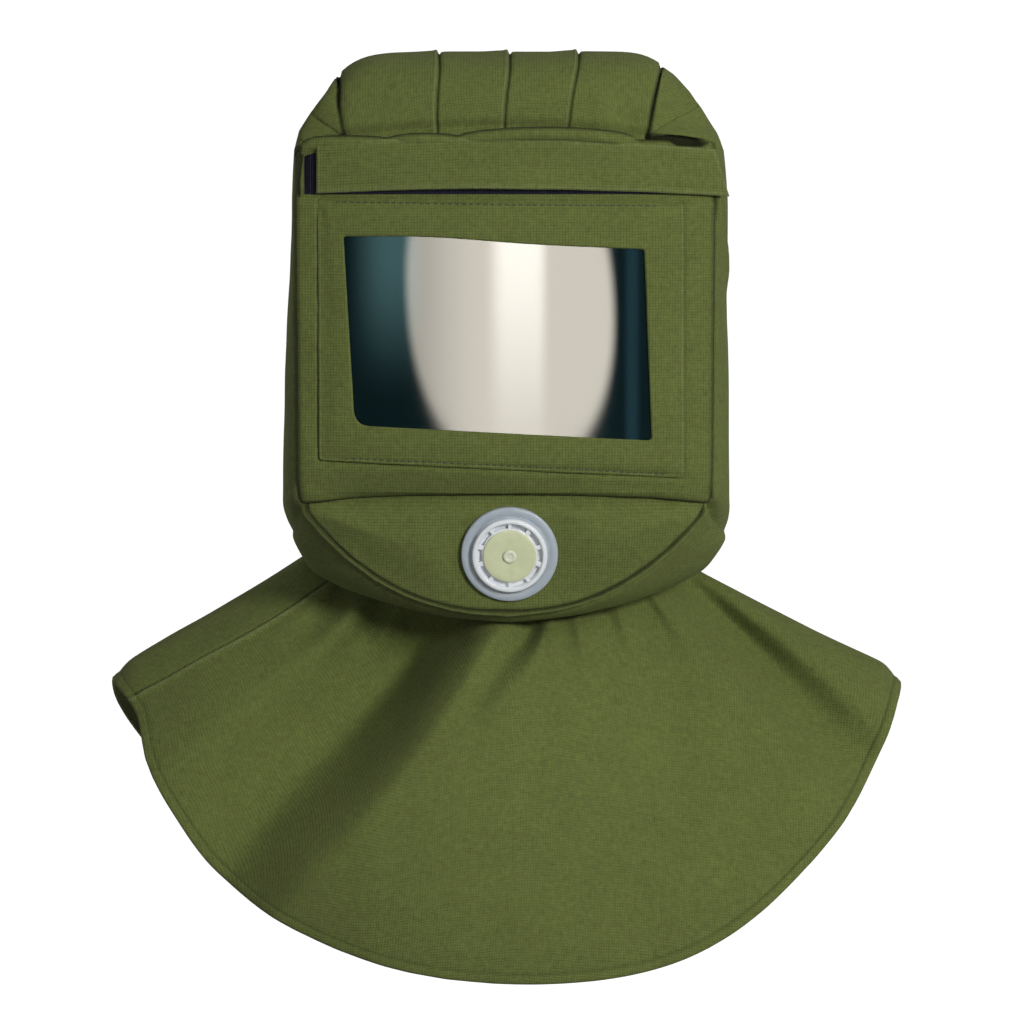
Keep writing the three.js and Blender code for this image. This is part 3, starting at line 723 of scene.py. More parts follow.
def panel_hole(place):
    return round_four(grown(WINDOW, PANEL_HOLE_MARGIN), PANEL_HOLE_RADII, place)


def around_face(outline, hole, inward):
    """x and z of a frame of cloth, from its outline in to its hole."""
    place = np.arange(FRAME_AROUND) / FRAME_AROUND
    return mix(outline(place)[None], hole(place)[None], inward[:, None, None])


flat = around_face(front_outline, panel_hole, closer_at_ends(44, 0.5) ** 1.25)
x, z = flat[..., 0], flat[..., 1]
points = face_point(x, z)
roll_top, roll_out = roll_shape(x)
face_half = mix(FACE_HALF_TOP, FACE_HALF_SEAM, (z + 0.05) / -0.217)
side_gap = np.minimum(face_half - np.abs(x), FAR_FROM_SEAM)
low_gap = above_lip(x, z)
roll_down = np.clip((roll_top - z) / ROLL_TALL, 0, 1)
roll_round = np.sqrt(np.clip(1 - (2 * roll_down - 1) ** 2, 0, 1))
amount = np.where(z > ROLL_LOWEST, roll_out * roll_round, 0)
amount += seam_roll(roll_top - z, 0.003, 0.003)
patch_foot = mix(PATCH[3][1], PATCH[2][1], (x - PATCH[3][0]) / (PATCH[2][0] - PATCH[3][0]))
beside = np.maximum(ease(np.abs(x + 0.0023), 0.104, 0.110), ease(patch_foot - z, -0.003, 0.003))
amount += PANEL_RISE * beside * ease(-z, 0.085, 0.092)
amount += seam_roll(side_gap, 0.0060, 0.0055)
amount += lip_curl(x, low_gap) + seam_roll(low_gap, 0.0024, 0.0026)
amount += 0.0016 * hump(low_gap, 0.003, 0.004) * hump(x, 0.08, 0.04)
seam = np.minimum(side_gap, low_gap)
amount += seam_pucker(points, seam, 31) + slack(points, 33, 0.0010)
points = puff(points, amount, loop=True)
# Painted shade along the side seams, at the lip over the chin and in the crease above the slack roll.
painted_shade_and_pale = painted_crease_shade(side_gap, 0.0028) + painted_crease_shade(low_gap) + painted_crease_shade(np.maximum(0, roll_top - z))
front_panel = cloth("front_canvas", points, flat, painted_shade_and_pale, loop=True)
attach(front_panel, "root")
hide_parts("front_panel")


# Lens: a springy pane of dark teal plastic that slides down into the pocket between the front panel and
# the patch. It is bent to the curve of the face and its edges are hidden in the pocket.
LENS_THICK = 0.002
LENS_OVERLAP = 0.007
LENS_GAP = 0.0005
LENS_TINT = (0.02, 0.055, 0.062)


def bisect_off(piece, at, direction):
    """Cuts the piece with a plane and takes away what lies beyond it."""
    select_only(piece)
    bpy.ops.object.mode_set(mode="EDIT")
    bpy.ops.mesh.select_all(action="SELECT")
    bpy.ops.mesh.bisect(plane_co=at, plane_no=direction, clear_outer=True)
    bpy.ops.object.mode_set(mode="OBJECT")


bpy.ops.object.select_all(action="DESELECT")
lens_front = FACE_FRONT - LENS_GAP - LENS_THICK
bpy.ops.mesh.primitive_cylinder_add(
    vertices=1024,
    radius=FACE_RADIUS,
    depth=0.2,
    end_fill_type="NOTHING",
    location=(0, lens_front + FACE_RADIUS, -0.17),
)
lens = bpy.context.object
lens.name = lens.data.name = "lens_pane"
bpy.ops.object.transform_apply(location=True, rotation=True, scale=True)
bisect_off(lens, (0, lens_front + 0.05, 0), (0, 1, 0))
lens_corners = [Vector((x, 0, z)) for x, z in grown(WINDOW, LENS_OVERLAP)]
for start, end in zip(lens_corners, lens_corners[1:] + lens_corners[:1]):
    along = end - start
    bisect_off(lens, start, (-along.z, 0, along.x))
thicken(lens, LENS_THICK)
bpy.ops.object.shade_smooth_by_angle(angle=math.radians(40))


def lens_material():
    """Tinted plastic, glossy in front, with the faint smears that wiping leaves."""
    material, tree, shader = new_material("tinted_lens")
    shader.inputs["Base Color"].default_value = (*LENS_TINT, 1)
    shader.inputs["IOR"].default_value = 1.58
    shader.inputs["Transmission Weight"].default_value = 0.75
    smear = speckle(tree, stretched(tree, object_place(tree), (3, 1, 0.6)), 9, 4)
    gloss = add_node(tree, "MapRange", {"Value": smear, "To Min": 0.015, "To Max": 0.05})
    tree.links.new(gloss.outputs["Result"], shader.inputs["Roughness"])
    return material


lens.data.materials.append(lens_material())
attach(lens, "root")
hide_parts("lens")


# Window patch: a frame of canvas sewn over the front panel along its top and its foot, so that it makes a
# pocket for the lens. Its outer edges are turned under, and its opening is folded back to a firm edge.
WINDOW_RADII = (0.0015, 0.002, 0.0025, 0.009)
PATCH_RADII = (0.002, 0.002, 0.002, 0.002)
PATCH_ON_PANEL = 0.0035
PATCH_AT_TOP = 0.0026
PATCH_OVER_LENS = 0.0044
PATCH_STITCH_INSET = 0.0026


def window_edge(place):
    edge = round_four(WINDOW, WINDOW_RADII, place)
    bow = 0.0022 * hump(edge[..., 0], -0.045, 0.045) * ease(edge[..., 1], -0.16, -0.13)
    return edge + np.stack([np.zeros_like(bow), bow], -1)


def patch_edge(place):
    return round_four(PATCH, PATCH_RADII, place)


flat = around_face(patch_edge, window_edge, closer_at_ends(40, 0.6))
x, z = flat[..., 0], flat[..., 1]
points = face_point(x, z)
from_outside, from_window = from_edges(points)[2:]
side_of = np.arange(FRAME_AROUND) // (FRAME_AROUND // 4)
sewn = hump(from_outside, PATCH_STITCH_INSET, 0.0011) * (side_of % 2 == 0)
on_panel = mix(PATCH_ON_PANEL, PATCH_AT_TOP, ease(z, -0.104, -0.092))
amount = mix(on_panel, PATCH_OVER_LENS, ease(from_outside, 0.003, 0.014))
amount += seam_roll(from_outside, 0.0011, 0.0013) + seam_roll(from_window, 0.0013, 0.0013)
amount += lip_curl(x, above_lip(x, z))
amount -= 0.0006 * sewn
amount += seam_pucker(points, from_outside, 41, 0.0004, 0.008) + slack(points, 43, 0.0004)
points = puff(points, amount, loop=True)
sides_only = (side_of % 2 == 1) * hump(from_outside, 0.0009, 0.0011)
patch = cloth("patch_canvas", points, flat, 0.2 * sides_only, loop=True)
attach(patch, "root")
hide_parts("window_patch")


# Stitches: strong dark green thread, pulled a little into the cloth. A row is one mesh of many short
# stitches, each thick in the middle and ending in its needle holes.
STITCH_PITCH = 0.0042
STITCH_LONG = 0.0029
STITCH_WIDE = 0.0010
STITCH_SIDES = 6
STITCH_RINGS = ((-0.5, 0.35, 0.0001), (-0.25, 0.9, 0), (0.25, 0.9, 0), (0.5, 0.35, 0.0001))
STITCH_NEAR = 0.0004
THREAD_GREEN = (0.018, 0.023, 0.009)


def thread_material():
    material, tree, shader = new_material("sewing_thread")
    shader.inputs["Roughness"].default_value = 0.6
    twist = speckle(tree, object_place(tree), 1400)
    dark, pale = [0.5 * c for c in THREAD_GREEN], [1.6 * c for c in THREAD_GREEN]
    tree.links.new(blend(tree, twist, dark, pale), shader.inputs["Base Color"])
    return material


thread = thread_material()


def face_outward(piece):
    select_only(piece)
    bpy.ops.object.mode_set(mode="EDIT")
    bpy.ops.mesh.select_all(action="SELECT")
    bpy.ops.mesh.normals_make_consistent(inside=False)
    bpy.ops.object.mode_set(mode="OBJECT")


def rods(name, points):
    """One mesh of many small rods, from an array of rods, rings along each rod and points round each ring."""
    count, rings, sides = points.shape[:3]
    faces = [tuple(range(sides))[::-1], tuple(range((rings - 1) * sides, rings * sides))]
    for ring in range(rings - 1):
        for side in range(sides):
            a, b = ring * sides + side, ring * sides + (side + 1) % sides
            faces.append((a, b, b + sides, a + sides))
    firsts = range(0, count * rings * sides, rings * sides)
    all_faces = [tuple(first + corner for corner in face) for first in firsts for face in faces]
    piece = new_piece(name, points, all_faces)
    face_outward(piece)
    return piece


def along_path(values, distance, wanted):
    return np.stack([np.interp(wanted, distance, values[:, axis]) for axis in range(3)], -1)


def stitch_row(name, path, normals, sunk=0.0):
    """Stitches along a path on the cloth, each a small spindle lying on it."""
    distance = np.concatenate([[0], np.cumsum(np.linalg.norm(np.diff(path, axis=0), axis=1))])
    starts = np.arange(0.5 * STITCH_PITCH, distance[-1] - STITCH_PITCH, STITCH_PITCH)
    normal = along_path(normals, distance, starts)
    middle = along_path(path, distance, starts) - normal * sunk
    ahead = along_path(path, distance, starts + STITCH_NEAR)
    along = ahead - along_path(path, distance, starts - STITCH_NEAR)
    along /= np.linalg.norm(along, axis=1, keepdims=True)
    beside = np.cross(normal, along)
    corners = []
    for place, width, sink in STITCH_RINGS:
        for turn in np.arange(STITCH_SIDES) * 2 * math.pi / STITCH_SIDES:
            offset = along * place * STITCH_LONG + beside * math.cos(turn) * width * STITCH_WIDE / 2
            lift = normal * (math.sin(turn) * width * STITCH_WIDE * 0.4 - sink)
            corners.append(middle + offset + lift)
    shape = (len(starts), len(STITCH_RINGS), STITCH_SIDES, 3)
    row = rods(name, np.stack(corners, 1).reshape(shape))
    bpy.ops.object.shade_smooth_by_angle(angle=math.radians(50))
    row.data.materials.append(thread)
    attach(row, "root")
    return row


def row_at(points, distance, inset, columns):
    """The path on a grid of cloth that keeps its distance from the first row, with its normals."""
    normals = outward(points)
    path = [along_path(points[:, column], distance[:, column], inset) for column in columns]
    out = [along_path(normals[:, column], distance[:, column], inset) for column in columns]
    return np.array(path), np.array(out)


top_row = row_at(points, from_outside, PATCH_STITCH_INSET, range(4, 97))
top_stitches = stitch_row("patch_top_stitches", *top_row)
foot_row = row_at(points, from_outside, PATCH_STITCH_INSET, range(204, 297))
foot_stitches = stitch_row("patch_foot_stitches", *foot_row)


# Hook tape: the dark half of a touch fastener, sewn to the front panel to hold the pocket flap down. It is
# a woven band set with rows of small nylon hooks, and shows only past the flap's left end.
TAPE_LEFT, TAPE_RIGHT = -0.119, 0.106
TAPE_TOP, TAPE_LOW = -0.061, -0.0853
TAPE_STAND = 0.0012
TAPE_DARK = (0.006, 0.005, 0.013)
HOOK_PITCH = 0.0017
HOOK_TALL = 0.0012
HOOK_HALF = 0.0002
HOOK_LINE = ((0, 0), (-0.7, 0), (-1.0, 0.35), (-0.75, 0.7))  # forward and up, in heights of a hook


def tape_material():
    material, tree, shader = new_material("hook_tape")
    shader.inputs["Roughness"].default_value = 0.55
    shader.inputs["Specular IOR Level"].default_value = 0.12
    ribs = add_node(tree, "TexWave", {"Vector": object_place(tree), "Scale": 260, "Distortion": 1.5})
    ribs.bands_direction = "X"
    ribs = ribs.outputs["Fac"]
    dark, pale = [0.6 * c for c in TAPE_DARK], [1.8 * c for c in TAPE_DARK]
    tree.links.new(blend(tree, ribs, dark, pale), shader.inputs["Base Color"])
    tree.links.new(bumpy(tree, ribs, 0.0003), shader.inputs["Normal"])
    return material


tape_x, tape_z = np.meshgrid(np.linspace(TAPE_LEFT, TAPE_RIGHT, 120), np.linspace(TAPE_TOP, TAPE_LOW, 14))
points = face_point(tape_x, tape_z, TAPE_STAND)
from_end = np.minimum(tape_x - TAPE_LEFT, TAPE_RIGHT - tape_x)
edge = np.minimum(from_end, np.minimum(TAPE_TOP - tape_z, tape_z - TAPE_LOW))
points = puff(points, seam_roll(edge, 0.0005, 0.0012))
hook_tape = cloth("hook_tape_band", points, np.stack([tape_x, tape_z], -1), thick=0.0009)
hook_tape.data.materials.clear()
hook_tape.data.materials.append(tape_material())
hook_x, hook_z = np.meshgrid(
    np.arange(TAPE_LEFT + 0.0015, TAPE_RIGHT - 0.001, HOOK_PITCH),
    np.arange(TAPE_LOW + 0.0015, TAPE_TOP - 0.001, HOOK_PITCH),
)
foot = face_point(hook_x.ravel(), hook_z.ravel(), TAPE_STAND - 0.0003)
corners = []
for out, up in HOOK_LINE:
    for right, above in ((-1, -1), (1, -1), (1, 1), (-1, 1)):
        lean = 0.5 * above * HOOK_HALF * (up > 0.5)
        y, z = out * HOOK_TALL + lean, up * HOOK_TALL + above * HOOK_HALF
        corners.append(foot + np.array([right * HOOK_HALF, y, z]))
hooks = rods("hook_tape_hooks", np.stack(corners, 1).reshape(len(foot), len(HOOK_LINE), 4, 3))
hooks.data.materials.append(hook_tape.data.materials[0])
for piece in (hook_tape, hooks):
    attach(piece, "root")
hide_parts("hook_tape")


# Pocket flap: a doubled strip of canvas, sewn down along its top, that closes the lens pocket. It presses
# on the hook tape, and its free lower edge stands off the panel, most of all right of the middle.
FLAP = ((-0.112, -0.054), (0.1250, -0.0580), (0.1335, -0.0866), (-0.112, -0.085))
FLAP_ARCH = 0.003
FLAP_THICK = 0.0022
FLAP_SEWN = 0.0030
FLAP_OVER_TAPE = 0.0047
FLAP_LIFT = 0.0053
FLAP_STITCH_INSET = 0.0042

u, v = np.meshgrid(closer_at_ends(220, 0.4), closer_at_ends(48, 0.6))
corner = [np.array(c) for c in FLAP]
top_line = mix(corner[0], corner[1], u[..., None])
low_line = mix(corner[3], corner[2], u[..., None])
flat = mix(top_line, low_line, v[..., None])
x = flat[..., 0]
z = flat[..., 1] + FLAP_ARCH * (1 - (2 * u - 1) ** 2)
z += 0.0009 * ripple_along(x, 0.035, 51) * (1 - 0.6 * v)
off = mix(FLAP_SEWN, FLAP_OVER_TAPE, ease(v, 0, 0.16))
open_edge = FLAP_LIFT + 0.0020 * hump(x, 0.030, 0.05) - 0.0004 * hump(x, -0.1, 0.03)
off = mix(off, open_edge, ease(v, 0.5, 1)) + 0.0007 * ripple_along(x, 0.05, 53) * v
points = face_point(x, z, off)
left_edge, right_edge, top_edge, low_edge = from_edges(points)
edge = np.minimum(np.minimum(left_edge, right_edge), np.minimum(top_edge, low_edge))
amount = seam_roll(edge, 0.0013, 0.0013) + slack(points, 55, 0.0005)
amount -= 0.0003 * hump(low_edge, FLAP_STITCH_INSET, 0.0009)
points = puff(points, amount)
flap_pale_edges = 0.2 * hump(edge, 0.0012, 0.0012)
flap = cloth("flap_canvas", points, flat, flap_pale_edges, thick=FLAP_THICK)
flap_row = row_at(points[::-1, ::-1], low_edge[::-1, ::-1], FLAP_STITCH_INSET, range(4, 216))
flap_stitches = stitch_row("flap_stitches", *flap_row, sunk=0.0006)
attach(flap, "root")
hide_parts("pocket_flap")


# Chin panel: a half-moon of canvas under the face, sloping back. It is eased into the side panels along its
# arc, and a round hole in it holds the exhale valve.
VALVE_X = 0.0028
VALVE_Z = -0.298
VALVE_HOLE = 0.0234
CHIN_SWELL = 0.0045
CHIN_UNDER_LIP = PANEL_CURL + 0.004
CHIN_UNDER_CORNER = 0.0065


def chin_outline(place):
    t = (place * 2) % 1
    x = FACE_HALF_SEAM * np.where(place < 0.5, 2 * t - 1, 1 - 2 * t)
    return np.stack([x, np.where(place < 0.5, chin_seam(x), chin_arc(x))], -1)


def valve_hole(place):
    from_valve = chin_outline(place) - np.array([VALVE_X, VALVE_Z])
    reach = np.linalg.norm(from_valve, axis=-1, keepdims=True) / VALVE_HOLE
    return np.array([VALVE_X, VALVE_Z]) + from_valve / reach


flat = around_face(chin_outline, valve_hole, closer_at_ends(56, 0.5))
x, z = flat[..., 0], flat[..., 1]
points = face_point(x, z)
top_gap = chin_seam(x) - z
arc_gap = np.maximum(0, (z - chin_arc(x)) * np.cos(np.arctan(1.1 * x / FACE_HALF_SEAM)))
edge = np.minimum(top_gap, arc_gap)
from_hole = np.hypot(x - VALVE_X, z - VALVE_Z) - VALVE_HOLE
amount = CHIN_SWELL * ease(edge, 0, 0.028) * ease(from_hole, 0.004, 0.03)
amount += seam_roll(arc_gap, 0.0030, 0.0030)
under_lip = mix(CHIN_UNDER_LIP, CHIN_UNDER_CORNER, at_corner(x))
amount -= under_lip * np.clip(1 - top_gap / 0.014, 0, 1) ** 2
amount += seam_pucker(points, edge, 61, 0.0007, 0.010)
amount += slack(points, 63, 0.0013, 0.05) * ease(from_hole, 0.004, 0.02)
points = puff(points, amount, loop=True)
# Painted shade along the chin's seams.
chin = cloth("chin_canvas", points, flat, painted_crease_shade(edge), loop=True)
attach(chin, "root")
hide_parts("chin_panel")


# Exhale valve: a soft grey flange clamps the canvas round the hole, a white moulded cage sits in it, and a
# thin pale disc, held by a stud in the middle, lifts off the cage's slots as breath goes out.
VALVE_FACETS = 120
VALVE_SLOTS = 10
SPOKE_FACETS = 3
PLATE_RINGS = (0.0198, 0.0190, 0.0166, 0.0017)
PLATE_LOW = 0.0044
PLATE_THICK = 0.0016

valve_out = Vector((VALVE_X / FACE_RADIUS, -1, -CHIN_SLOPE)).normalized()
valve_right = Vector((0, 0, 1)).cross(valve_out).normalized()
valve_up = valve_out.cross(valve_right)
valve_axes = Matrix((valve_right, valve_up, valve_out)).transposed().to_4x4()
valve_seat = Matrix.Translation(Vector(face_point(np.array(VALVE_X), np.array(VALVE_Z)))) @ valve_axes


def turned(name, profile, ends):
    """Draws a ring out through a profile of radius and height, as on a lathe, and closes its ends."""
    bpy.ops.object.select_all(action="DESELECT")
    radius, height = profile[0]
    bpy.ops.mesh.primitive_circle_add(vertices=VALVE_FACETS, radius=radius, location=(0, 0, height))
    piece = bpy.context.object
    piece.name = piece.data.name = name
    bpy.ops.object.transform_apply(location=True, rotation=True, scale=True)
    bpy.ops.object.mode_set(mode="EDIT")
    bpy.ops.mesh.select_all(action="SELECT")
    if ends == "capped":
        bpy.ops.mesh.edge_face_add()
    for next_radius, next_height in profile[1:]:
        bpy.ops.mesh.extrude_edges_move(TRANSFORM_OT_translate={"value": (0, 0, next_height - height)})
        grow = next_radius / radius
        bpy.ops.transform.resize(value=(grow, grow, 1), center_override=(0, 0, next_height))
        radius, height = next_radius, next_height
    if ends == "capped":
        bpy.ops.mesh.edge_face_add()
    if ends == "joined":
        bpy.ops.mesh.select_all(action="DESELECT")
        bpy.ops.mesh.select_mode(type="EDGE")
        bpy.ops.mesh.select_non_manifold()
        bpy.ops.mesh.bridge_edge_loops()
    bpy.ops.object.mode_set(mode="OBJECT")
    face_outward(piece)
    return piece


def moulded(name, colour, roughness, cloudy, see_through):
    """A moulded plastic or rubber: slightly cloudy in colour, with a fine satin skin."""
    material, tree, shader = new_material(name)
    shader.inputs["Roughness"].default_value = roughness
    shader.inputs["Subsurface Weight"].default_value = see_through
    shader.inputs["Subsurface Radius"].default_value = (0.004, 0.004, 0.0035)
    shader.inputs["Subsurface Scale"].default_value = 1.0
    place = object_place(tree)
    dark, pale = [c * (1 - cloudy) for c in colour], [min(1, c * (1 + cloudy)) for c in colour]
    tree.links.new(blend(tree, speckle(tree, place, 210, 4), dark, pale), shader.inputs["Base Color"])
    tree.links.new(bumpy(tree, speckle(tree, place, 1500), 0.0002, 0.12), shader.inputs["Normal"])
    return material


def seat_in_chin(piece, node, material):
    """Puts a turned piece in the valve's place on the chin and stands it for its CAD node."""
    piece.data.transform(valve_seat)
    piece.data.materials.clear()
    piece.data.materials.append(material)
    select_only(piece)
    bevel = piece.modifiers.new("eased_edges", "BEVEL")
    bevel.width = 0.0002
    bevel.segments = 2
    bevel.limit_method = "ANGLE"
    bevel.angle_limit = math.radians(40)
    bpy.ops.object.modifier_apply(modifier="eased_edges")
    bpy.ops.object.shade_smooth_by_angle(angle=math.radians(35))
    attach(piece, "root")
    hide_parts(node)


flange_profile = [
    (0.0210, -0.0050), (0.0260, -0.0050), (0.0260, -0.0032), (0.0228, -0.0032), (0.0228, 0.0005),
    (0.02875, 0.0005), (0.02875, 0.0019), (0.0284, 0.0027), (0.0274, 0.0032), (0.0248, 0.0030),
    (0.0236, 0.0025), (0.0230, 0.0033), (0.0210, 0.0033),
]
flange = turned("valve_flange_ring", flange_profile, ends="joined")
seat_in_chin(flange, "valve_flange", moulded("soft_grey_rubber", (0.36, 0.41, 0.455), 0.36, 0.12, 0.25))

rim_profile = [
    (0.0194, 0.0036), (0.0150, 0.0036), (0.0150, 0.0026), (0.0194, 0.0026), (0.0194, -0.0045),
    (0.0207, -0.0045), (0.0207, 0.0035), (0.02235, 0.0035), (0.02235, 0.0062),
    (0.0220, 0.0069), (0.0213, 0.0072), (0.0200, 0.0072), (0.0194, 0.0066),
]
cage = turned("valve_cage_moulding", rim_profile, ends="joined")
plate = turned("valve_plate", [(radius, PLATE_LOW) for radius in PLATE_RINGS], ends="open")
bpy.ops.object.mode_set(mode="EDIT")
bpy.ops.mesh.select_mode(type="FACE")
bpy.ops.mesh.select_all(action="DESELECT")
bpy.ops.object.mode_set(mode="OBJECT")
per_slot = VALVE_FACETS / VALVE_SLOTS
for face in plate.data.polygons:
    facet = math.atan2(face.center.x, face.center.y) / (2 * math.pi) * VALVE_FACETS % per_slot
    on_spoke = min(facet, per_slot - facet) < SPOKE_FACETS / 2
    face.select = PLATE_RINGS[2] < face.center.xy.length < PLATE_RINGS[1] and not on_spoke
bpy.ops.object.mode_set(mode="EDIT")
bpy.ops.mesh.delete(type="FACE")
bpy.ops.object.mode_set(mode="OBJECT")
thicken(plate, PLATE_THICK, 1 if plate.data.polygons[0].normal.z > 0 else -1)
select_only(cage)
plate.select_set(True)
bpy.ops.object.join()
seat_in_chin(cage, "valve_cage", moulded("white_moulding", (0.78, 0.81, 0.84), 0.34, 0.05, 0.15))

disc_profile = [
    (0.0017, 0.0063), (0.0155, 0.0063), (0.0159, 0.0066), (0.0156, 0.0072), (0.0140, 0.0073),
    (0.0070, 0.0075), (0.0055, 0.0073), (0.0017, 0.0073),
]
membrane = turned("valve_disc", disc_profile, ends="joined")
seat_in_chin(membrane, "valve_membrane", moulded("pale_silicone", (0.62, 0.66, 0.40), 0.42, 0.14, 0.3))

stud_profile = [
    (0.0030, 0.0029), (0.0030, 0.0041), (0.0014, 0.0041), (0.0014, 0.0076), (0.0040, 0.0076),
    (0.0040, 0.0081), (0.0035, 0.0087), (0.0022, 0.0088), (0.0018, 0.0084), (0.0008, 0.0084),
]
stud = turned("valve_stud_pin", stud_profile, ends="capped")
seat_in_chin(stud, "valve_stud", moulded("pale_moulding", (0.70, 0.73, 0.55), 0.38, 0.06, 0.2))


# Cape: a front half and a back half, cut as parts of a ring and sewn together over the shoulders. Their neck
# edges are gathered a little into the hood, and one turned hem runs all the way round.
HEM_HALF_WIDTH = 0.2445
HEM_DROP = 0.235
HEM_CENTRE_Z = -0.315
HEM_ARC = math.radians(77.3)
HEM_SWING = 0.010
HEM_FLATNESS = 0.85
HEM_FRONT = 0.150
HEM_BACK = 0.142
HEM_WIDE = 0.0062
HEM_WAVES = ((9, 12, 0.010), (35, 11, -0.0055), (-36, 9, -0.005))  # angle, reach, shift to the right
CAPE_BOW = 0.013
NECK_SEAM_DROP = 0.0014
SHOULDER_LEFT_DEG = (-60, -76)
SHOULDER_RIGHT_DEG = (92, 92)
SHOULDER_LEFT_LIFT = (0.0100, 0.0060)
SHOULDER_RIGHT_LIFT = (-0.0040, 0.0055)
SHOULDER_WELT_AT = 0.0030
CAPE_PARTED = ((-70, 10, 0.009), (-110, 14, -0.006))  # angle, reach, shift to the right
FOLD_START = -0.25
CAPE_FOLDS = [  # angle at the neck and hem, reach to the right and left, depth, where deepest, where ended
    (-12, -36, 12, 24, 0.046, 0.34, 1.75),
    (1, -25, 46, 13, -0.042, 0.38, 1.25),
    (9.5, -26, 3.5, 5, 0.015, 0.11, 0.36),
    (14, 9, 3, 4, 0.005, 0.08, 0.26),
    (27, 20, 4, 5, 0.006, 0.08, 0.30),
    (42, 36, 4, 6, 0.006, 0.08, 0.34),
    (62, 56, 14, 14, 0.030, 0.45, 1.50),
    (-34, -40, 6, 7, 0.008, 0.10, 0.40),
    (-50, -54, 6, 7, 0.008, 0.12, 0.45),
    (150, 142, 14, 14, 0.010, 0.50, 1.30),
    (178, 184, 12, 12, 0.009, 0.50, 1.30),
    (212, 222, 14, 14, 0.010, 0.50, 1.30),
]


def hem_point(degrees):
    angle = np.radians(degrees)
    arc = HEM_ARC * np.sin(angle)
    depth = np.where(np.cos(angle) > 0, HEM_FRONT, HEM_BACK)
    swing = HEM_SWING * np.maximum(0, np.cos(angle)) ** 2
    for middle, reach, shift in HEM_WAVES:
        swing += shift * hump(degrees, middle, reach)
    flatter = 0.0045 * hump(np.abs(arc), 1.05, 0.25) * np.sign(arc)
    x = HEM_HALF_WIDTH * np.sin(arc) + swing - flatter
    z = HEM_CENTRE_Z - HEM_DROP * np.cos(arc) ** HEM_FLATNESS
    return np.stack([x, -depth * np.cos(angle), z], -1)


def cape_point(degrees, place):
    """The cape's outside without its folds. At the left shoulder its front hangs in and its back out."""
    start = neck_point(degrees) - np.array([0, 0, NECK_SEAM_DROP])
    angle = np.radians(degrees)
    bow = CAPE_BOW * place**2 * (1 - place) * 27 / 4
    points = mix(start, hem_point(degrees), place[..., None])
    points[..., 1] -= np.cos(angle) * bow
    turned_degrees = (degrees + 180) % 360 - 180
    for middle, reach, shift in CAPE_PARTED:
        points[..., 0] += shift * hump(turned_degrees, middle, reach) * ease(place, 0.6, 1)
    at_left, at_right = hump(turned_degrees, -95, 20), hump(turned_degrees, 90, 20)
    points[..., 2] += mix(*SHOULDER_LEFT_LIFT, place) * at_left * ease(place, 0, 0.12)
    points[..., 2] += mix(*SHOULDER_RIGHT_LIFT, place) * at_right * ease(place, 0, 0.1)
    points[..., 0] += (0.004 * at_right - 0.0015 * at_left) * ease(place, 0.6, 1)
    points[..., 2] -= 0.007 * (at_right + 0.7 * at_left) * ease(place, 0.88, 1) ** 2
    return points


def fold_depth(degrees, place):
    """How far the folds sink, or stand out where below 0. Each runs from the neck in a curve."""
    depth = np.zeros_like(degrees)
    for neck, hem, right, left, deep, deepest, end in CAPE_FOLDS:
        away = degrees - mix(neck, hem, 1 - (1 - place) ** 1.7)
        away = np.abs(away) / (np.where(away > 0, right, left) * mix(1.25, 0.8, place))
        across = np.where(away < 1, np.cos(np.minimum(away, 1) * math.pi / 2) ** 2, 0)
        along = ease(place, FOLD_START, deepest) * (1 - ease(place, deepest, end))
        depth += deep * across * along
    return depth * ease(place, 0, 0.12)


def ring_cut(points):
    """Weave places of a half cape as it was cut: part of a ring, with its threads straight."""
    hem_step = np.linalg.norm(np.diff(points[-1], axis=0), axis=1)
    reach = 0.11 + along_columns(points)
    turn = np.concatenate([[0], np.cumsum(hem_step)]) / reach[-1].mean()
    turn = turn - turn.mean()
    return np.stack([reach * np.sin(turn), -reach * np.cos(turn)], -1)


def cape_half(name, start, end, around, seed):
    share, place = np.meshgrid(closer_at_ends(around, 0.15), closer_at_ends(140, 0.35))
    degrees = mix(mix(start[0], start[1], place), mix(end[0], end[1], place), share)
    points = cape_point(degrees, place)
    left_edge, right_edge, _, low_edge = from_edges(points)
    seam = np.minimum(left_edge, right_edge)
    points[..., 1] += np.sign(np.cos(np.radians(degrees))) * fold_depth(degrees, place)
    gathers = np.stack([degrees / 8, 0.5 * place, 0 * place], -1)
    near_neck = ease(place, 0, 0.05) * (1 - ease(place, 0.08, 0.42))
    loose = slack(points, seed, 0.0020, 0.09) * ease(place, 0, 0.2)
    loose += 0.0026 * ripple(gathers, 1.0, seed + 6) * near_neck
    amount = loose * ease(seam, 0, 0.03) + seam_pucker(points, low_edge, seed + 4, 0.0005, 0.012)
    hem = ease(HEM_WIDE + 0.0012 - low_edge, 0, 0.0012)
    amount += 0.0006 * hem - 0.0006 * hump(low_edge, HEM_WIDE, 0.0009) + seam_roll(low_edge, 0.0012, 0.0014)
    has_welt = start is SHOULDER_LEFT_DEG
    amount += seam_roll(seam, 0.0024, 0.0022)
    amount += 0.0014 * hump(left_edge, SHOULDER_WELT_AT, 0.0022) * has_welt
    points = puff(points, amount)
    # Painted shade along the side seams and in the hem's stitch groove; paler along the left shoulder's welt.
    painted_shade_and_pale = painted_crease_shade(seam, 0.0012) + 0.5 * painted_crease_shade(low_edge - HEM_WIDE, 0.0007)
    painted_shade_and_pale += 0.35 * hump(left_edge, SHOULDER_WELT_AT, 0.0016) * has_welt
    half = cloth(name, points, ring_cut(points), painted_shade_and_pale)
    path = row_at(points[::-1, ::-1], low_edge[::-1, ::-1], HEM_WIDE, range(2, around - 2))
    stitches = stitch_row(name.replace("canvas", "hem_stitches"), *path, sunk=0.0006)
    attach(half, "root")
    return half, stitches


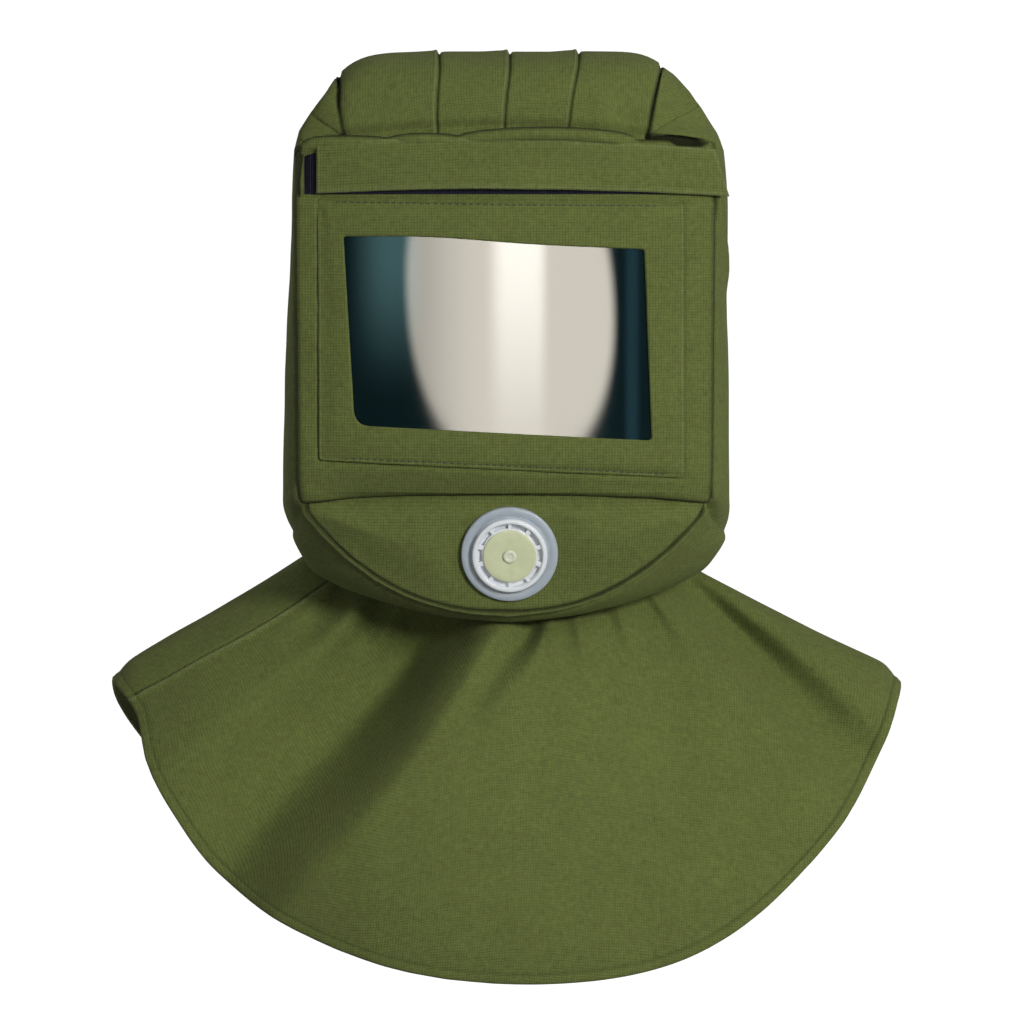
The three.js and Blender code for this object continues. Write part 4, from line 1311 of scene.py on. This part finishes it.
cape_front, front_hem = cape_half("cape_front_canvas", SHOULDER_LEFT_DEG, SHOULDER_RIGHT_DEG, 300, 71)
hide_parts("cape_front")
shoulder_round = tuple(degrees + 360 for degrees in SHOULDER_LEFT_DEG)
cape_back, back_hem = cape_half("cape_back_canvas", SHOULDER_RIGHT_DEG, shoulder_round, 230, 81)
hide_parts("cape_back")


# Stage: a pale floor far below, a white studio that is brighter above than below, one large soft light in
# front at the right and a camera straight in front. A glowing card behind the camera, seen only in glossy
# reflections, paints the lens's reflection: a pale rounded shape with a bright streak and a dim teal glow.
CAMERA_TARGET = Vector((0.0042, -0.06, -0.2752))
CAMERA_DISTANCE = 4.0
CAMERA_ELEVATION = math.radians(2)
CAMERA_LENS = 234.4
FLOOR_Z = -0.78
KEY_AT = Vector((1.65, -2.86, 0.62))
KEY_TOWARDS = Vector((0, 0, -0.3))
KEY_SIZE = 0.9
KEY_POWER = 80
STUDIO_ABOVE = 0.36
STUDIO_BELOW = 0.08
STUDIO_SEEN = 1.05

world = bpy.context.scene.world or bpy.data.worlds.new("studio")
bpy.context.scene.world = world
world.use_nodes = True
tree = world.node_tree
background = tree.nodes["Background"]
background.inputs["Color"].default_value = (1, 1, 1, 1)
direction = tree.nodes.new("ShaderNodeTexCoord").outputs["Generated"]
upward = add_node(tree, "SeparateXYZ", {"Vector": direction}).outputs["Z"]
heights = {"From Min": -0.7, "From Max": 0.9, "To Min": STUDIO_BELOW, "To Max": STUDIO_ABOVE}
studio = add_node(tree, "MapRange", {"Value": upward, **heights}).outputs["Result"]
seen = tree.nodes.new("ShaderNodeLightPath").outputs["Is Camera Ray"]
strength = add_node(tree, "Mix", {"Factor": seen, "A": studio, "B": STUDIO_SEEN}).outputs["Result"]
tree.links.new(strength, background.inputs["Strength"])

bpy.ops.object.select_all(action="DESELECT")
bpy.ops.mesh.primitive_plane_add(size=40, location=(0, 0, FLOOR_Z))
floor = bpy.context.object
floor.name = "floor"
floor.visible_diffuse = False
floor_paint, _, floor_shader = new_material("pale_floor")
floor_shader.inputs["Base Color"].default_value = (0.8, 0.8, 0.8, 1)
floor_shader.inputs["Roughness"].default_value = 0.9
floor_shader.inputs["Emission Color"].default_value = (1, 1, 1, 1)
floor_shader.inputs["Emission Strength"].default_value = 0.8
floor.data.materials.append(floor_paint)

# A glowing card behind the camera, seen only in glossy reflections, paints the lens's reflection.
bpy.ops.object.select_all(action="DESELECT")
bpy.ops.mesh.primitive_plane_add(size=9, location=(0, -4.4, 0), rotation=(math.pi / 2, 0, 0))
card = bpy.context.object
card.name = "painted_lens_reflection_card"
bpy.ops.object.transform_apply(location=True, rotation=True, scale=True)
card.visible_camera = False
card.visible_diffuse = False
card.visible_transmission = False
card.visible_shadow = False


def painted_reflection_material():
    """Painted reflection for the lens: a pale rounded glow leaning to one side, a bright streak in it, and a
    dim teal glow beside it.
    """
    material, tree, shader = new_material("painted_lens_reflection")
    tree.nodes.remove(shader)
    parts = add_node(tree, "SeparateXYZ", {"Vector": object_place(tree)})
    across, up = parts.outputs["X"], parts.outputs["Z"]

    def ramp(value, start, end):
        node = add_node(tree, "MapRange", {"Value": value, "From Min": start, "From Max": end})
        node.interpolation_type = "SMOOTHSTEP"
        return node.outputs["Result"]

    def times(first, second):
        return calc(tree, "MULTIPLY", first, second)

    def rounded(value, half):
        return calc(tree, "POWER", calc(tree, "ABSOLUTE", times(value, 1 / half)), 2.2)

    below_middle = calc(tree, "ADD", up, 0.161)
    leaning = calc(tree, "ADD", calc(tree, "ADD", across, times(below_middle, 0.6)), -0.074)
    inside = ramp(calc(tree, "ADD", rounded(leaning, 1.43), rounded(below_middle, 0.215)), 1.12, 0.84)
    rising = ramp(across, -1.6, -0.25)
    streak = times(ramp(across, -0.30, 0.02), ramp(across, 0.62, 0.40))
    streak = times(streak, ramp(up, -0.42, -0.05))
    gap = times(times(ramp(across, -2.35, -1.6), ramp(across, -1.05, -1.35)), ramp(up, -0.29, -0.10))
    far_gap = times(ramp(across, 1.62, 1.75), ramp(across, 1.95, 1.80))

    total = None
    for colour, strength, amount in [
        ((1.0, 0.93, 0.80), 6.0, inside),
        ((1.0, 0.93, 0.80), 6.0, times(inside, rising)),
        ((1.0, 0.98, 0.93), 9.0, times(inside, streak)),
        ((0.36, 0.76, 0.80), 2.3, gap),
        ((0.20, 0.55, 0.75), 0.8, far_gap),
    ]:
        inputs = {"Color": (*colour, 1), "Strength": times(amount, strength)}
        light = add_node(tree, "Emission", inputs).outputs["Emission"]
        if total is None:
            total = light
        else:
            total = add_node(tree, "AddShader", {0: total, 1: light}).outputs["Shader"]
    tree.links.new(total, tree.nodes["Material Output"].inputs["Surface"])
    return material


card.data.materials.append(painted_reflection_material())


light = bpy.data.lights.new("key_light", "AREA")
light.shape = "DISK"
light.size = KEY_SIZE
light.energy = KEY_POWER
lamp = bpy.data.objects.new("key_light", light)
lamp.location = KEY_AT
lamp.rotation_euler = (KEY_TOWARDS - KEY_AT).to_track_quat("-Z", "Y").to_euler()
bpy.context.scene.collection.objects.link(lamp)

camera_data = bpy.data.cameras.new("camera")
camera_data.lens = CAMERA_LENS
camera_data.clip_end = 100
camera = bpy.data.objects.new("camera", camera_data)
back = Vector((0, -math.cos(CAMERA_ELEVATION), math.sin(CAMERA_ELEVATION)))
camera.location = CAMERA_TARGET + back * CAMERA_DISTANCE
camera.rotation_euler = (-back).to_track_quat("-Z", "Y").to_euler()
bpy.context.scene.collection.objects.link(camera)
bpy.context.scene.camera = camera
bpy.context.scene.view_settings.view_transform = "Standard"
